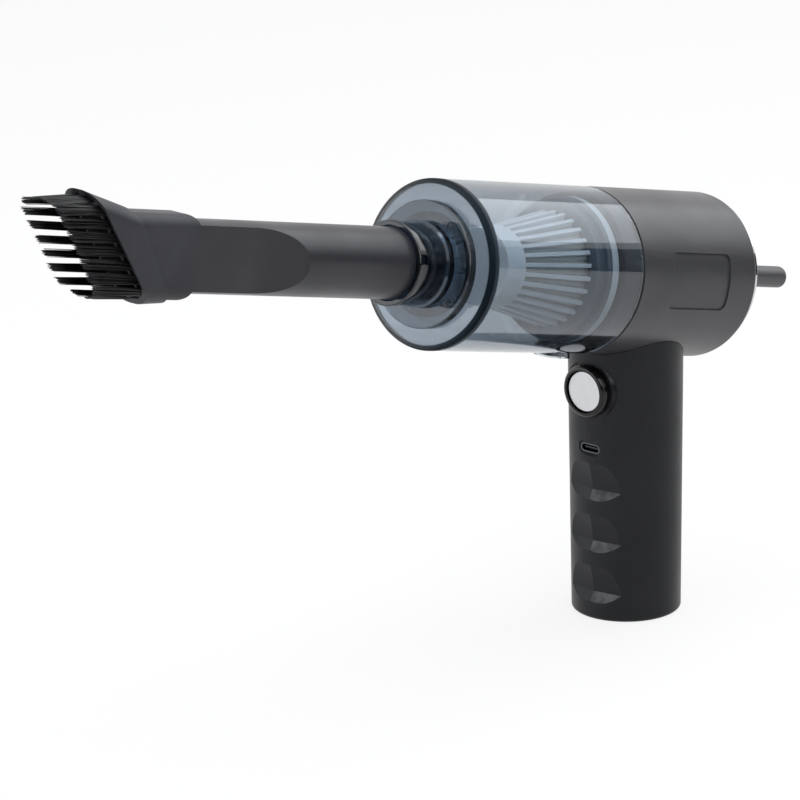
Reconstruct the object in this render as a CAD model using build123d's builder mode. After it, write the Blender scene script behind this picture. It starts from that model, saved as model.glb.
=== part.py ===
from build123d import *
from math import acos, atan2, cos, degrees, radians, sin, sqrt, tan
import os

# Desktop mini vacuum cleaner, in millimetres. A tilted barrel (motor housing behind, clear dust cup in
# front) sits on an upright handle that it stands on. The origin is the middle of the handle's flat
# bottom, +Z is up and the nose points to -X. The body is symmetrical about the XZ plane.
# Places along the barrel are measured ahead of the point where its axis crosses the handle's axis.

os.makedirs("parts", exist_ok=True)

# ---------------------------------------------------------------- driving dimensions
# barrel
barrel_tilt = 13.84          # nose-up angle
barrel_height = 131.3        # where the barrel's axis crosses the handle's axis
barrel_radius = 31.0
seam_ahead = 26.5            # joint between housing and dust cup
housing_length = 66.9
housing_wall = 2.2
housing_back_fillet = 2.0
spigot_length = 10.0
spigot_wall = 3.0
spigot_shoulder = 3.0
seam_seal_thickness = 0.8
seam_seal_width = 1.6
wire_hole_radius = 8.0

# recessed side panel
panel_length = 33.6
panel_height = 21.0
panel_corner = 2.5
panel_depth = 0.6
panel_ahead = -7.3
panel_turn = 3.2             # degrees above the side

# back cover, trim ring and blower tip
trim_width = 1.3
trim_stand_out = 2.8
trim_depth = 5.0
cover_stand_out = 2.0
cover_skirt_wall = 2.0
cover_skirt_depth = 4.5
vent_count = 12
vent_length = 11.0
vent_width = 2.4
vent_circle = 17.5
socket_wall = 1.9
socket_depth = 4.9
socket_flange = 2.0
socket_flange_thickness = 1.2
tip_radius = 4.1
tip_bore = 2.6
tip_length = 57.3
tip_insertion = 4.0
tip_neck_step = 0.2
tip_neck_gap = 0.6           # bare length of the thinner neck between socket and tip
tip_end_fillet = 1.4

# dust cup
cup_length = 86.2
cup_wall = 1.6
cup_front_wall = 2.0
cup_chamfer = 1.7
boss_margin = 7.8            # from the cup's outside in to its boss
boss_height = 3.2
boss_edge_fillet = 0.6
cup_seam_gap = 0.3
cup_fit = 0.3                # radial gap between cup and spigot

# inlet collar
collar_base_radius = 15.9
collar_base_length = 6.6
collar_neck_radius = 15.0
collar_length = 21.2
collar_rim_length = 2.4
collar_rim_radius = 15.45
collar_flange_radius = 19.0
collar_flange_thickness = 1.5
collar_ledge = 1.6

# cup release button
release_length = 11.4
release_width = 8.6
release_boss_border = 1.6
release_boss_height = 1.3
release_cut_margin = 2.0      # how far the button's slot is cut past both sides of the wall
release_ahead_of_seam = 8.9
release_flange = 0.9
release_flange_thickness = 0.6
release_spring_radius = 1.4
release_spring_wire = 0.3
release_spring_set_back = 2.5
release_spring_turns = 4
release_face_wall = 1.0
latch_slot_depth = 2.0
moving_gap = 0.3             # gap between parts that move past each other

# filter
filter_cup_gap = 2.4         # clear space round the filter's rim
filter_flange_thickness = 5.1
filter_step_inset = 2.0      # from the rim's outside in
filter_step_height = 3.8
filter_flange_wall = 1.6
filter_cone_inset = 5.4
filter_cap_inset = 11.8
filter_cap_draft = 1.2
filter_length = 47.0
filter_cap_length = 8.5
filter_wall = 1.3
filter_rib_count = 28
filter_rib_width = 1.5
filter_rib_depth = 2.0
pleat_wall = 0.8
filter_seal_thickness = 1.2
filter_seal_width = 3.6

# crevice nozzle
nozzle_radius = 13.0
nozzle_wall = 1.3
nozzle_fit = 0.06            # radial running clearance in the collar
scoop_start = 189.0
scoop_arc = 40.0
tip_half_width = 6.0
nozzle_end = 262.5

# brush head
brush_slant = 42.0
brush_back_slant = 36.0
sleeve_back = 241.0
sleeve_wall = 1.7
sleeve_corner = 5.0
sleeve_back_corner = 5.0
head_back = 262.7
mouth_place = 276.5
mouth_length = 51.5
mouth_width = 19.0
mouth_shift = 2.9
head_back_length = 40.6
head_back_width = 18.4
mouth_wall = 4.2
bristle_thickness = 2.2
bristle_channel_depth = 7.0
bristle_row_length = 34.4
bristle_tip_row = 45.0        # the tufts spread from the row's length to this
bristle_reach = 24.5
bristle_sheet = 5.0
tuft_count = 6
tuft_gap = 1.6

# handle
handle_bottom_radius = 20.64
handle_top_radius = 21.59
handle_taper_top = 99.0
handle_wall = 2.0
scoop_backing = 4.2           # wall and rib together behind the scoops
handle_edge_fillet = 1.5
handle_floor = 2.0
handle_joint_gap = 0.1
scoop_lip_shares = (0.7073, 0.4056, 0.107)   # heights of the lips as shares of the inlet's height
scoop_depth = 2.0
scoop_height = 14.0
scoop_lip_rise = 3.4
scoop_facet_slope = 0.15     # the two halves of a scoop fall back from a middle crease
pad_radius = 11.5
pad_face = 20.9
end_cap_radius = 16.4
end_cap_flange = 1.6
end_cap_flange_thickness = 1.5

# power button
button_below_barrel = 41.2
button_disc_radius = 7.7
button_disc_thickness = 1.0
button_face = 23.8
button_travel = 1.2
bezel_radius = 10.1
bezel_face = 24.6
bezel_round = 2.6
bezel_bore = 8.1
bezel_inner_bore = 9.2
bezel_lip = 3.4
bezel_back = 16.2
button_flange_thickness = 1.0
button_stem_radius = 2.6
button_spring_radius = 5.4
button_spring_wire = 0.45
button_spring_turns = 4

# charging inlet and light
usb_below_button = 22.8
usb_width = 8.94
usb_thickness = 3.26
usb_shell_wall = 0.3
usb_recess_width = 10.8
usb_recess_thickness = 5.2
usb_recess_depth = 0.9
usb_gap = 0.15
tongue_width = 6.69
tongue_thickness = 0.7
tongue_set_back = 0.8
light_rise = 4.4
light_radius = 0.5

# electronics and cells
board_front = 13.9
board_thickness = 1.6
board_width = 22.0
board_below_inlet = 7.3
board_above_button = 7.9
switch_size = 6.0
switch_thickness = 3.5
switch_plunger_radius = 1.7
switch_plunger_length = 0.7
cell_radius = 9.15
cell_length = 65.0
cell_gap = 0.2
cell_back = 1.0
cell_nub_radius = 3.0
cell_nub = 0.6
contact_thickness = 0.4
contact_width = 7.0
holder_thickness = 1.6
lead_radius = 0.8
lead_spacing = 6.0
lead_below_board_top = 5.0
lead_rise_x = 3.0
lead_behind_motor = 3.6
lead_bends = (4.0, 5.0, 4.5, 1.6)

# motor and impeller
motor_radius = 18.0
motor_wall = 1.6
motor_front = 15.0
motor_back_gap = 5.4         # from the housing's back end forward to the motor
bell_thickness = 2.0
bell_skirt = 3.0
shaft_radius = 1.585
bearing_fit = 0.03
bearing_radius = 3.5
bearing_length = 5.0
front_bearing_inset = 2.0
rear_bearing_stand_out = 0.5
shaft_stand_out = 0.5
magnet_thickness = 2.8
magnet_overhang = 1.5        # past the core's front end
magnet_tail = 3.5            # past its back end
magnet_span = 140.0
air_gap = 0.6
core_end_gap = 1.5           # from the front bearing's boss to the winding
core_back_gap = 14.9         # from the motor's back end to the core
core_slots = 5
core_slot_width = 3.0
core_slot_depth = 6.5
winding_radius = 10.0
winding_length = 3.0
commutator_gap = 0.6
commutator_radius = 5.0
commutator_slot_depth = 0.8
commutator_slot_width = 0.5
commutator_length = 5.0
impeller_tip_gap = 4.0       # from the impeller out to the housing
impeller_back = 18.0
impeller_plate = 1.2
impeller_height = 10.5
blade_height = 8.6
impeller_hub = 5.0
blade_count = 9
blade_thickness = 1.0
nut_across = 5.5
nut_height = 2.0
shaft_nose = 0.5
mount_plate_gap = 4.8
mount_rib_count = 6
mount_rib_thickness = 2.0
mount_rib_length = 34.0
mount_screw_circle = 12.5
mount_screw_radius = 1.4
mount_screw_head_radius = 2.5
mount_screw_head = 0.9
mount_screw_length = 4.0
shroud_hole = 13.0
shroud_thickness = 1.4
grille_thickness = 1.6
grille_rings = 3
grille_bar = 1.6
grille_rim = 3.0
grille_spokes = 6
running_gap = 0.8

# ---------------------------------------------------------------- frames shared by the parts
tilt = radians(barrel_tilt)
nose = Vector(-cos(tilt), 0, sin(tilt))
barrel_up = Vector(sin(tilt), 0, cos(tilt))
barrel_centre = Vector(0, 0, barrel_height)
barrel_axis = Axis(barrel_centre, nose)
barrel_section = Plane(origin=barrel_centre, x_dir=barrel_up, z_dir=(0, -1, 0))  # x radius, y ahead

housing_back = seam_ahead - housing_length
housing_inner = barrel_radius - housing_wall
cup_front = seam_ahead + cup_length
cup_inner = barrel_radius - cup_wall
spigot_radius = cup_inner - cup_fit
spigot_inner = spigot_radius - spigot_wall
spigot_front = seam_ahead + spigot_length
release_place = seam_ahead + release_ahead_of_seam
filter_flange_radius = cup_inner - filter_cup_gap
filter_step_radius = filter_flange_radius - filter_step_inset
filter_cone_radius = filter_flange_radius - filter_cone_inset
filter_cap_radius = filter_flange_radius - filter_cap_inset
impeller_radius = housing_inner - impeller_tip_gap
mount_plate_radius = housing_inner - mount_plate_gap
handle_radius_slope = (handle_top_radius - handle_bottom_radius) / handle_taper_top
button_height = barrel_height - button_below_barrel
usb_height = button_height - usb_below_button
board_bottom = usb_height - board_below_inlet
board_top = button_height + board_above_button
scoop_lips = [usb_height * share for share in scoop_lip_shares]


def across(ahead):
    """Plane square to the barrel, its x axis pointing to the barrel's top."""
    return Plane(origin=barrel_centre + nose * ahead, x_dir=barrel_up, z_dir=nose)


def slanted(ahead, slant):
    """Plane across the barrel whose top leans forward by the slant."""
    lean = radians(slant)
    along = barrel_up * cos(lean) + nose * sin(lean)
    return Plane(origin=barrel_centre + nose * ahead, x_dir=along, z_dir=along.cross(Vector(0, 1, 0)))


def band(inner, outer, back, front):
    """Rectangle in the barrel's half section, from one radius to another."""
    with Locations(((inner + outer) / 2, (back + front) / 2)):
        Rectangle(outer - inner, front - back)


def facing(height, depth):
    """Upright plane that looks out of the handle's front, its x axis pointing to -Y."""
    return Plane(origin=(-depth, 0, height), x_dir=(0, -1, 0), z_dir=(-1, 0, 0))


# ---------------------------------------------------------------- motor housing
panel_outward = Vector(0, -cos(radians(panel_turn)), 0) + barrel_up * sin(radians(panel_turn))
panel_plane = Plane(origin=barrel_centre + nose * panel_ahead, x_dir=nose, z_dir=panel_outward)

slot_floor = spigot_radius - latch_slot_depth
slot_back = max(release_place - release_length / 2 - release_flange - 2 * moving_gap, seam_ahead)
slot_width = release_width + 2 * release_flange + 4 * moving_gap

with BuildPart() as panel_recess:
    with BuildSketch(panel_plane.offset(housing_inner * 0.8)):
        RectangleRounded(panel_length, panel_height, panel_corner)
    extrude(amount=barrel_radius)
    with BuildSketch(across(housing_back)):
        Circle(barrel_radius - panel_depth)
    extrude(amount=housing_length, mode=Mode.SUBTRACT)

with BuildPart() as motor_housing:
    with BuildSketch(barrel_section):
        with BuildLine():
            Polyline(
                (barrel_radius, housing_back),
                (barrel_radius, seam_ahead),
                (spigot_radius, seam_ahead),
                (spigot_radius, spigot_front),
                (spigot_inner, spigot_front),
                (spigot_inner, seam_ahead - spigot_shoulder),
                (housing_inner, seam_ahead - spigot_shoulder - (housing_inner - spigot_inner)),
                (housing_inner, housing_back),
                close=True,
            )
        make_face()
    revolve(axis=barrel_axis)
    back_edges = motor_housing.edges().filter_by(GeomType.CIRCLE).sort_by(barrel_axis)[0:2]
    fillet(back_edges.sort_by(SortBy.RADIUS)[-1], min(housing_back_fillet, housing_wall - 0.15))
    add(panel_recess.part, mode=Mode.SUBTRACT)
    with BuildSketch(Plane.XY.offset(barrel_height)):
        Circle(wire_hole_radius)
    extrude(amount=-(barrel_radius / cos(tilt) + 1), mode=Mode.SUBTRACT)
    # slot in the bottom of the spigot for the cup's release button, open towards the nose
    with BuildSketch(across(slot_back)):
        with Locations((-(slot_floor + barrel_radius) / 2, 0)):
            Rectangle(barrel_radius - slot_floor, slot_width)
    extrude(amount=spigot_length, mode=Mode.SUBTRACT)
motor_housing.part.label = "motor_housing"
export_step(motor_housing.part, "parts/motor_housing.step")

with BuildPart() as cup_seal_ring:
    with BuildSketch(barrel_section):
        band(spigot_radius, spigot_radius + seam_seal_width, seam_ahead, seam_ahead + seam_seal_thickness)
    revolve(axis=barrel_axis)
cup_seal_ring.part.label = "cup_seal_ring"
export_step(cup_seal_ring.part, "parts/cup_seal_ring.step")

# ---------------------------------------------------------------- back of the housing
trim_outer = housing_inner
trim_inner = trim_outer - trim_width
cover_back = housing_back - cover_stand_out
tip_neck_radius = tip_radius - tip_neck_step
socket_bore = tip_neck_radius + 0.05
socket_outer = socket_bore + socket_wall
socket_back = cover_back - 0.6
socket_front = housing_back + socket_depth

with BuildPart() as rear_trim_ring:
    with BuildSketch(barrel_section):
        band(trim_inner, trim_outer, housing_back - trim_stand_out, housing_back + trim_depth)
    revolve(axis=barrel_axis)
    back_edges = rear_trim_ring.edges().filter_by(GeomType.CIRCLE).sort_by(barrel_axis)[0:2]
    fillet(back_edges, trim_width * 0.35)
rear_trim_ring.part.label = "rear_trim_ring"
export_step(rear_trim_ring.part, "parts/rear_trim_ring.step")

with BuildPart() as rear_cover:
    with BuildSketch(barrel_section):
        band(socket_outer, trim_inner, cover_back, housing_back)
        band(trim_inner - cover_skirt_wall, trim_inner, housing_back, housing_back + cover_skirt_depth)
    revolve(axis=barrel_axis)
    with BuildSketch(across(cover_back)):
        with PolarLocations(vent_circle, vent_count):
            SlotOverall(vent_length, vent_width)
    extrude(amount=cover_stand_out, mode=Mode.SUBTRACT)
rear_cover.part.label = "rear_cover"
export_step(rear_cover.part, "parts/rear_cover.step")

with BuildPart() as outlet_socket:
    with BuildSketch(barrel_section):
        band(socket_bore, socket_outer, socket_back, socket_front)
        flange_outer = socket_outer + socket_flange
        band(socket_outer, flange_outer, housing_back, housing_back + socket_flange_thickness)
    revolve(axis=barrel_axis)
outlet_socket.part.label = "outlet_socket"
export_step(outlet_socket.part, "parts/outlet_socket.step")

with BuildPart() as blower_tip:
    tip_front = housing_back + tip_insertion
    tip_shoulder = socket_back - tip_neck_gap
    with BuildSketch(barrel_section):
        band(tip_bore, tip_radius, tip_front - tip_length, tip_shoulder)
        band(tip_bore, tip_neck_radius, tip_shoulder, tip_front)
    revolve(axis=barrel_axis)
    end_edges = blower_tip.edges().filter_by(GeomType.CIRCLE).sort_by(barrel_axis)[0:2]
    fillet(end_edges.sort_by(SortBy.RADIUS)[-1], min(tip_end_fillet, tip_radius - tip_bore - 0.1))
blower_tip.part.label = "blower_tip"
export_step(blower_tip.part, "parts/blower_tip.step")

# ---------------------------------------------------------------- motor
motor_back = housing_back + motor_back_gap
motor_inner = motor_radius - motor_wall
bearing_bore = shaft_radius + bearing_fit
front_bearing_back = motor_front - motor_wall - front_bearing_inset
rear_bearing_back = motor_back - rear_bearing_stand_out
core_radius = motor_inner - magnet_thickness - air_gap
core_front = front_bearing_back - winding_length - core_end_gap
core_back = motor_back + core_back_gap
magnet_front = core_front + magnet_overhang
magnet_back = core_back - magnet_tail
commutator_front = core_back - winding_length - commutator_gap

with BuildPart() as motor_can:
    with BuildSketch(barrel_section):
        band(motor_inner, motor_radius, motor_back + bell_thickness, motor_front - motor_wall)
        band(bearing_radius, motor_radius, motor_front - motor_wall, motor_front)
    revolve(axis=barrel_axis)
    front_edges = motor_can.edges().filter_by(GeomType.CIRCLE).group_by(barrel_axis)[-1]
    fillet(front_edges.sort_by(SortBy.RADIUS)[-1], motor_wall * 0.6)
    with BuildSketch(across(motor_front - motor_wall)):
        with PolarLocations(mount_screw_circle, 2):
            Circle(mount_screw_radius)
    extrude(amount=motor_wall, mode=Mode.SUBTRACT)
motor_can.part.label = "motor_can"
export_step(motor_can.part, "parts/motor_can.step")

with BuildPart() as motor_end_bell:
    with BuildSketch(barrel_section):
        band(bearing_radius, motor_radius, motor_back, motor_back + bell_thickness)
        band(motor_inner - bell_thickness, motor_inner, motor_back + bell_thickness,
             motor_back + bell_thickness + bell_skirt)
        band(bearing_radius, bearing_radius + bell_thickness, motor_back + bell_thickness,
             rear_bearing_back + bearing_length)
    revolve(axis=barrel_axis)
motor_end_bell.part.label = "motor_end_bell"
export_step(motor_end_bell.part, "parts/motor_end_bell.step")

with BuildPart() as front_bearing:
    with BuildSketch(barrel_section):
        band(bearing_bore, bearing_radius, front_bearing_back, front_bearing_back + bearing_length)
    revolve(axis=barrel_axis)
front_bearing.part.label = "front_bearing"
export_step(front_bearing.part, "parts/front_bearing.step")

with BuildPart() as rear_bearing:
    with BuildSketch(barrel_section):
        band(bearing_bore, bearing_radius, rear_bearing_back, rear_bearing_back + bearing_length)
    revolve(axis=barrel_axis)
rear_bearing.part.label = "rear_bearing"
export_step(rear_bearing.part, "parts/rear_bearing.step")

with BuildPart() as motor_magnets:
    with BuildSketch(across(magnet_back)):
        Circle(motor_inner)
        Circle(motor_inner - magnet_thickness, mode=Mode.SUBTRACT)
        gap_between = 2 * motor_inner * cos(radians(magnet_span / 2))
        Rectangle(2 * motor_radius, gap_between, mode=Mode.SUBTRACT)
    extrude(amount=magnet_front - magnet_back)
motor_magnets.part.label = "motor_magnets"
export_step(motor_magnets.part, "parts/motor_magnets.step")

# ---------------------------------------------------------------- rotor and impeller
nut_back = impeller_back + impeller_plate + impeller_height
shaft_front = nut_back + nut_height + shaft_nose

with BuildPart() as rotor_shaft:
    with BuildSketch(across(rear_bearing_back - shaft_stand_out)):
        Circle(shaft_radius)
    extrude(amount=shaft_front - rear_bearing_back + shaft_stand_out)
    chamfer(rotor_shaft.edges().group_by(barrel_axis)[-1], shaft_radius * 0.2)
rotor_shaft.part.label = "rotor_shaft"
export_step(rotor_shaft.part, "parts/rotor_shaft.step")

with BuildPart() as rotor_core:
    with BuildSketch(across(core_back)):
        Circle(core_radius)
        Circle(shaft_radius, mode=Mode.SUBTRACT)
        with PolarLocations(core_radius - core_slot_depth / 2, core_slots):
            Rectangle(core_slot_depth * 1.1, core_slot_width, mode=Mode.SUBTRACT)
    extrude(amount=core_front - core_back)
rotor_core.part.label = "rotor_core"
export_step(rotor_core.part, "parts/rotor_core.step")

with BuildPart() as rotor_windings:
    with BuildSketch(barrel_section):
        band(shaft_radius, winding_radius, core_front, core_front + winding_length)
        band(shaft_radius, winding_radius, core_back - winding_length, core_back)
    revolve(axis=barrel_axis)
    outer_edges = rotor_windings.edges().filter_by(GeomType.CIRCLE).group_by(SortBy.RADIUS)[-1]
    fillet(outer_edges, winding_length * 0.3)
rotor_windings.part.label = "rotor_windings"
export_step(rotor_windings.part, "parts/rotor_windings.step")

with BuildPart() as commutator:
    with BuildSketch(across(commutator_front - commutator_length)):
        Circle(commutator_radius)
        Circle(shaft_radius, mode=Mode.SUBTRACT)
        with PolarLocations(commutator_radius, core_slots):
            Rectangle(commutator_slot_depth * 2, commutator_slot_width, mode=Mode.SUBTRACT)
    extrude(amount=commutator_length)
commutator.part.label = "commutator"
export_step(commutator.part, "parts/commutator.step")

with BuildPart() as impeller:
    with BuildSketch(barrel_section):
        band(shaft_radius, impeller_radius, impeller_back, impeller_back + impeller_plate)
        band(shaft_radius, impeller_hub, impeller_back + impeller_plate, nut_back)
    revolve(axis=barrel_axis)
    with BuildSketch(across(impeller_back + impeller_plate)):
        blade_line = Edge.make_three_point_arc(
            (impeller_hub - blade_thickness, 0),
            (impeller_radius * 0.56, impeller_radius * 0.2),
            (impeller_radius - blade_thickness, 0),
        )
        with PolarLocations(0, blade_count):
            SlotArc(blade_line, blade_thickness)
        Circle(shaft_radius * 1.2, mode=Mode.SUBTRACT)
    extrude(amount=blade_height)
impeller.part.label = "impeller"
export_step(impeller.part, "parts/impeller.step")

with BuildPart() as impeller_nut:
    with BuildSketch(across(nut_back)):
        RegularPolygon(nut_across / 2, 6, major_radius=False)
        Circle(shaft_radius, mode=Mode.SUBTRACT)
    extrude(amount=nut_height)
impeller_nut.part.label = "impeller_nut"
export_step(impeller_nut.part, "parts/impeller_nut.step")

# ---------------------------------------------------------------- what carries the motor and guides the air
mount_front = impeller_back - running_gap
shroud_back = impeller_back + impeller_plate + blade_height + running_gap
grille_back = spigot_front - grille_thickness

with BuildPart() as motor_mount:
    with BuildSketch(across(motor_front)):
        Circle(mount_plate_radius)
        Circle(bearing_radius + 1.5, mode=Mode.SUBTRACT)
        with PolarLocations(mount_screw_circle, 2):
            Circle(mount_screw_radius, mode=Mode.SUBTRACT)
    extrude(amount=mount_front - motor_front)
    with BuildSketch(across(mount_front - mount_rib_length)):
        with PolarLocations((motor_radius + housing_inner) / 2, mount_rib_count, start_angle=30):
            Rectangle(housing_inner - motor_radius - 0.2, mount_rib_thickness)
    extrude(amount=mount_rib_length)
    with BuildSketch(across(mount_front - mount_screw_head - 0.1)):
        with PolarLocations(mount_screw_circle, 2):
            Circle(mount_screw_head_radius + 0.1)
    extrude(amount=mount_screw_head + 0.1, mode=Mode.SUBTRACT)
motor_mount.part.label = "motor_mount"
export_step(motor_mount.part, "parts/motor_mount.step")

with BuildPart() as motor_screws:
    with BuildSketch(across(mount_front - mount_screw_head - 0.1)):
        with PolarLocations(mount_screw_circle, 2):
            Circle(mount_screw_head_radius)
    extrude(amount=mount_screw_head)
    with BuildSketch(across(mount_front - mount_screw_length)):
        with PolarLocations(mount_screw_circle, 2):
            Circle(mount_screw_radius)
    extrude(amount=mount_screw_length - mount_screw_head)
motor_screws.part.label = "motor_screws"
export_step(motor_screws.part, "parts/motor_screws.step")

with BuildPart() as fan_shroud:
    with BuildSketch(barrel_section):
        band(shroud_hole, spigot_inner, shroud_back, shroud_back + shroud_thickness)
    revolve(axis=barrel_axis)
    mouth_edges = fan_shroud.edges().filter_by(GeomType.CIRCLE).sort_by(SortBy.RADIUS)[0:2]
    fillet(mouth_edges, shroud_thickness * 0.4)
fan_shroud.part.label = "fan_shroud"
export_step(fan_shroud.part, "parts/fan_shroud.step")

with BuildPart() as intake_grille:
    ring_pitch = (spigot_inner - grille_rim) / (grille_rings + 0.5)
    with BuildSketch(across(grille_back)):
        Circle(spigot_inner)
        Circle(spigot_inner - grille_rim, mode=Mode.SUBTRACT)
        for ring in reversed(range(grille_rings)):
            ring_radius = ring_pitch * (ring + 0.75)
            Circle(ring_radius)
            Circle(ring_radius - grille_bar, mode=Mode.SUBTRACT)
        with PolarLocations((spigot_inner - grille_rim + 0.5) / 2, grille_spokes):
            Rectangle(spigot_inner - grille_rim + 0.5, grille_bar)
    extrude(amount=grille_thickness)
intake_grille.part.label = "intake_grille"
export_step(intake_grille.part, "parts/intake_grille.step")

# ---------------------------------------------------------------- filter
filter_seal_back = spigot_front + moving_gap
filter_back = filter_seal_back + filter_seal_thickness
rim_front = filter_back + filter_flange_thickness
cone_back = rim_front + filter_step_height
cap_front = filter_back + filter_length
cap_back = cap_front - filter_cap_length
cone_lean = degrees(atan2(filter_cone_radius - filter_cap_radius, cap_back - cone_back))

with BuildPart() as filter_seal:
    with BuildSketch(barrel_section):
        seal_outer = filter_flange_radius - 0.2
        band(seal_outer - filter_seal_width, seal_outer, filter_seal_back, filter_back)
    revolve(axis=barrel_axis)
filter_seal.part.label = "filter_seal"
export_step(filter_seal.part, "parts/filter_seal.step")

with BuildPart() as filter_frame:
    with BuildSketch(barrel_section):
        # stepped rim with a hollow back, then the closed cap
        with BuildLine():
            Polyline(
                (filter_flange_radius - filter_flange_wall, filter_back),
                (filter_flange_radius, filter_back),
                (filter_flange_radius, rim_front - filter_flange_wall / 2),
                (filter_flange_radius - filter_flange_wall / 2, rim_front),
                (filter_step_radius, rim_front),
                (filter_step_radius, cone_back - filter_flange_wall / 2),
                (filter_step_radius - filter_flange_wall / 2, cone_back),
                (filter_cone_radius - filter_rib_depth, cone_back),
                (filter_cone_radius - filter_rib_depth, cone_back - filter_flange_wall),
                (filter_step_radius - filter_flange_wall, cone_back - filter_flange_wall),
                (filter_step_radius - filter_flange_wall, rim_front - filter_flange_wall),
                (filter_flange_radius - filter_flange_wall, rim_front - filter_flange_wall),
                close=True,
            )
        make_face()
        with BuildLine():
            Polyline(
                (0, cap_front),
                (filter_cap_radius - filter_cap_draft, cap_front),
                (filter_cap_radius, cap_back),
                (filter_cap_radius - filter_wall, cap_back),
                (filter_cap_radius - filter_cap_draft - filter_wall, cap_front - filter_wall),
                (0, cap_front - filter_wall),
                close=True,
            )
        make_face()
    revolve(axis=barrel_axis)
    rib_length = (cap_back - cone_back) / cos(radians(cone_lean)) + 1.0
    with Locations(across((cone_back + cap_back) / 2)):
        rib_middle = (filter_cone_radius + filter_cap_radius - filter_rib_depth) / 2
        with PolarLocations(rib_middle, filter_rib_count):
            Box(filter_rib_depth, filter_rib_width, rib_length, rotation=(0, -cone_lean, 0))
filter_frame.part.label = "filter_frame"
export_step(filter_frame.part, "parts/filter_frame.step")

with BuildPart() as filter_pleats:
    pleat_back_radius = filter_cone_radius - filter_rib_depth - 0.4
    pleat_front_radius = filter_cap_radius - filter_rib_depth - 0.4
    with BuildSketch(barrel_section):
        with BuildLine():
            Polyline(
                (pleat_back_radius, filter_back + 0.5),
                (pleat_back_radius, cone_back),
                (pleat_front_radius, cap_back + 1.0),
                (pleat_front_radius - pleat_wall, cap_back + 1.0),
                (pleat_back_radius - pleat_wall, cone_back),
                (pleat_back_radius - pleat_wall, filter_back + 0.5),
                close=True,
            )
        make_face()
    revolve(axis=barrel_axis)
filter_pleats.part.label = "filter_pleats"
export_step(filter_pleats.part, "parts/filter_pleats.step")

# ---------------------------------------------------------------- dust cup
cup_back = seam_ahead + seam_seal_thickness + cup_seam_gap
collar_bore = nozzle_radius + nozzle_fit
wall_back = cup_front - cup_front_wall
collar_tip = cup_front + collar_length
beneath = Plane(origin=barrel_centre + nose * release_place, x_dir=nose, z_dir=-barrel_up)

with BuildPart() as cup_shell:
    with BuildSketch(barrel_section):
        band(cup_inner, barrel_radius, cup_back, cup_front)
        band(collar_base_radius, barrel_radius, wall_back, cup_front)
        band(collar_base_radius, barrel_radius - boss_margin, wall_back, cup_front + boss_height)
    revolve(axis=barrel_axis)
    outer_edges = cup_shell.edges().filter_by(GeomType.CIRCLE).group_by(SortBy.RADIUS)[-1]
    chamfer(outer_edges.sort_by(barrel_axis)[-1], cup_chamfer)
    boss_edges = cup_shell.edges().filter_by(GeomType.CIRCLE).sort_by(barrel_axis)[-2:]
    fillet(boss_edges.sort_by(SortBy.RADIUS)[-1], boss_edge_fillet)
    with BuildSketch(beneath.offset(cup_inner + 0.5)):
        SlotOverall(release_length + 2 * release_boss_border, release_width + 2 * release_boss_border)
    extrude(amount=cup_wall + release_boss_height - 0.5)
    with BuildSketch(beneath.offset(cup_inner - release_cut_margin)):
        SlotOverall(release_length + 2 * moving_gap, release_width + 2 * moving_gap)
    extrude(amount=cup_wall + release_boss_height + 2 * release_cut_margin, mode=Mode.SUBTRACT)
cup_shell.part.label = "cup_shell"
export_step(cup_shell.part, "parts/cup_shell.step")

with BuildPart() as inlet_collar:
    with BuildSketch(barrel_section):
        with BuildLine():
            Polyline(
                (collar_bore, wall_back),
                (collar_bore, collar_tip),
                (collar_rim_radius, collar_tip),
                (collar_rim_radius, collar_tip - collar_rim_length),
                (collar_neck_radius, collar_tip - collar_rim_length - 0.6),
                (collar_neck_radius, cup_front + collar_base_length),
                (collar_base_radius, cup_front + collar_base_length - 0.6),
                (collar_base_radius, wall_back),
                (collar_flange_radius, wall_back),
                (collar_flange_radius, wall_back - collar_flange_thickness),
                (collar_bore - collar_ledge, wall_back - collar_flange_thickness),
                (collar_bore - collar_ledge, wall_back),
                close=True,
            )
        make_face()
    revolve(axis=barrel_axis)
    fillet(inlet_collar.edges().filter_by(GeomType.CIRCLE).group_by(barrel_axis)[-1], 0.6)
inlet_collar.part.label = "inlet_collar"
export_step(inlet_collar.part, "parts/inlet_collar.step")

# the button's face follows the cup; its flange keeps it behind the wall
button_outer = barrel_radius + release_boss_height * 0.7
flange_outer = cup_inner - moving_gap
flange_inner = flange_outer - release_flange_thickness

with BuildPart() as release_button:
    with BuildSketch(beneath.offset(flange_inner - 1)):
        SlotOverall(release_length + 2 * release_flange, release_width + 2 * release_flange)
    extrude(amount=3)
    with BuildSketch(across(release_place - release_length)):
        Circle(flange_outer)
    extrude(amount=2 * release_length, mode=Mode.INTERSECT)
    with BuildSketch(beneath.offset(flange_inner - 1)):
        SlotOverall(release_length, release_width)
    extrude(amount=button_outer - flange_inner + 1)
    fillet(release_button.faces().sort_by(Axis(barrel_centre, -barrel_up))[-1].edges(), 0.5)
    with BuildSketch(across(release_place - release_length)):
        Circle(flange_inner)
    extrude(amount=2 * release_length, mode=Mode.SUBTRACT)
    with BuildSketch(beneath.offset(flange_inner - 1)):
        with Locations((-release_spring_set_back, 0)):
            Circle(release_spring_radius + 0.4)
    extrude(amount=button_outer - flange_inner + 1 - release_face_wall, mode=Mode.SUBTRACT)
release_button.part.label = "release_button"
export_step(release_button.part, "parts/release_button.step")

spring_foot = slot_floor + 0.1
spring_top = button_outer - release_face_wall - 0.1
spring_rise = spring_top - spring_foot - 2 * release_spring_wire
spring_line = barrel_centre + nose * (release_place - release_spring_set_back)

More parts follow.
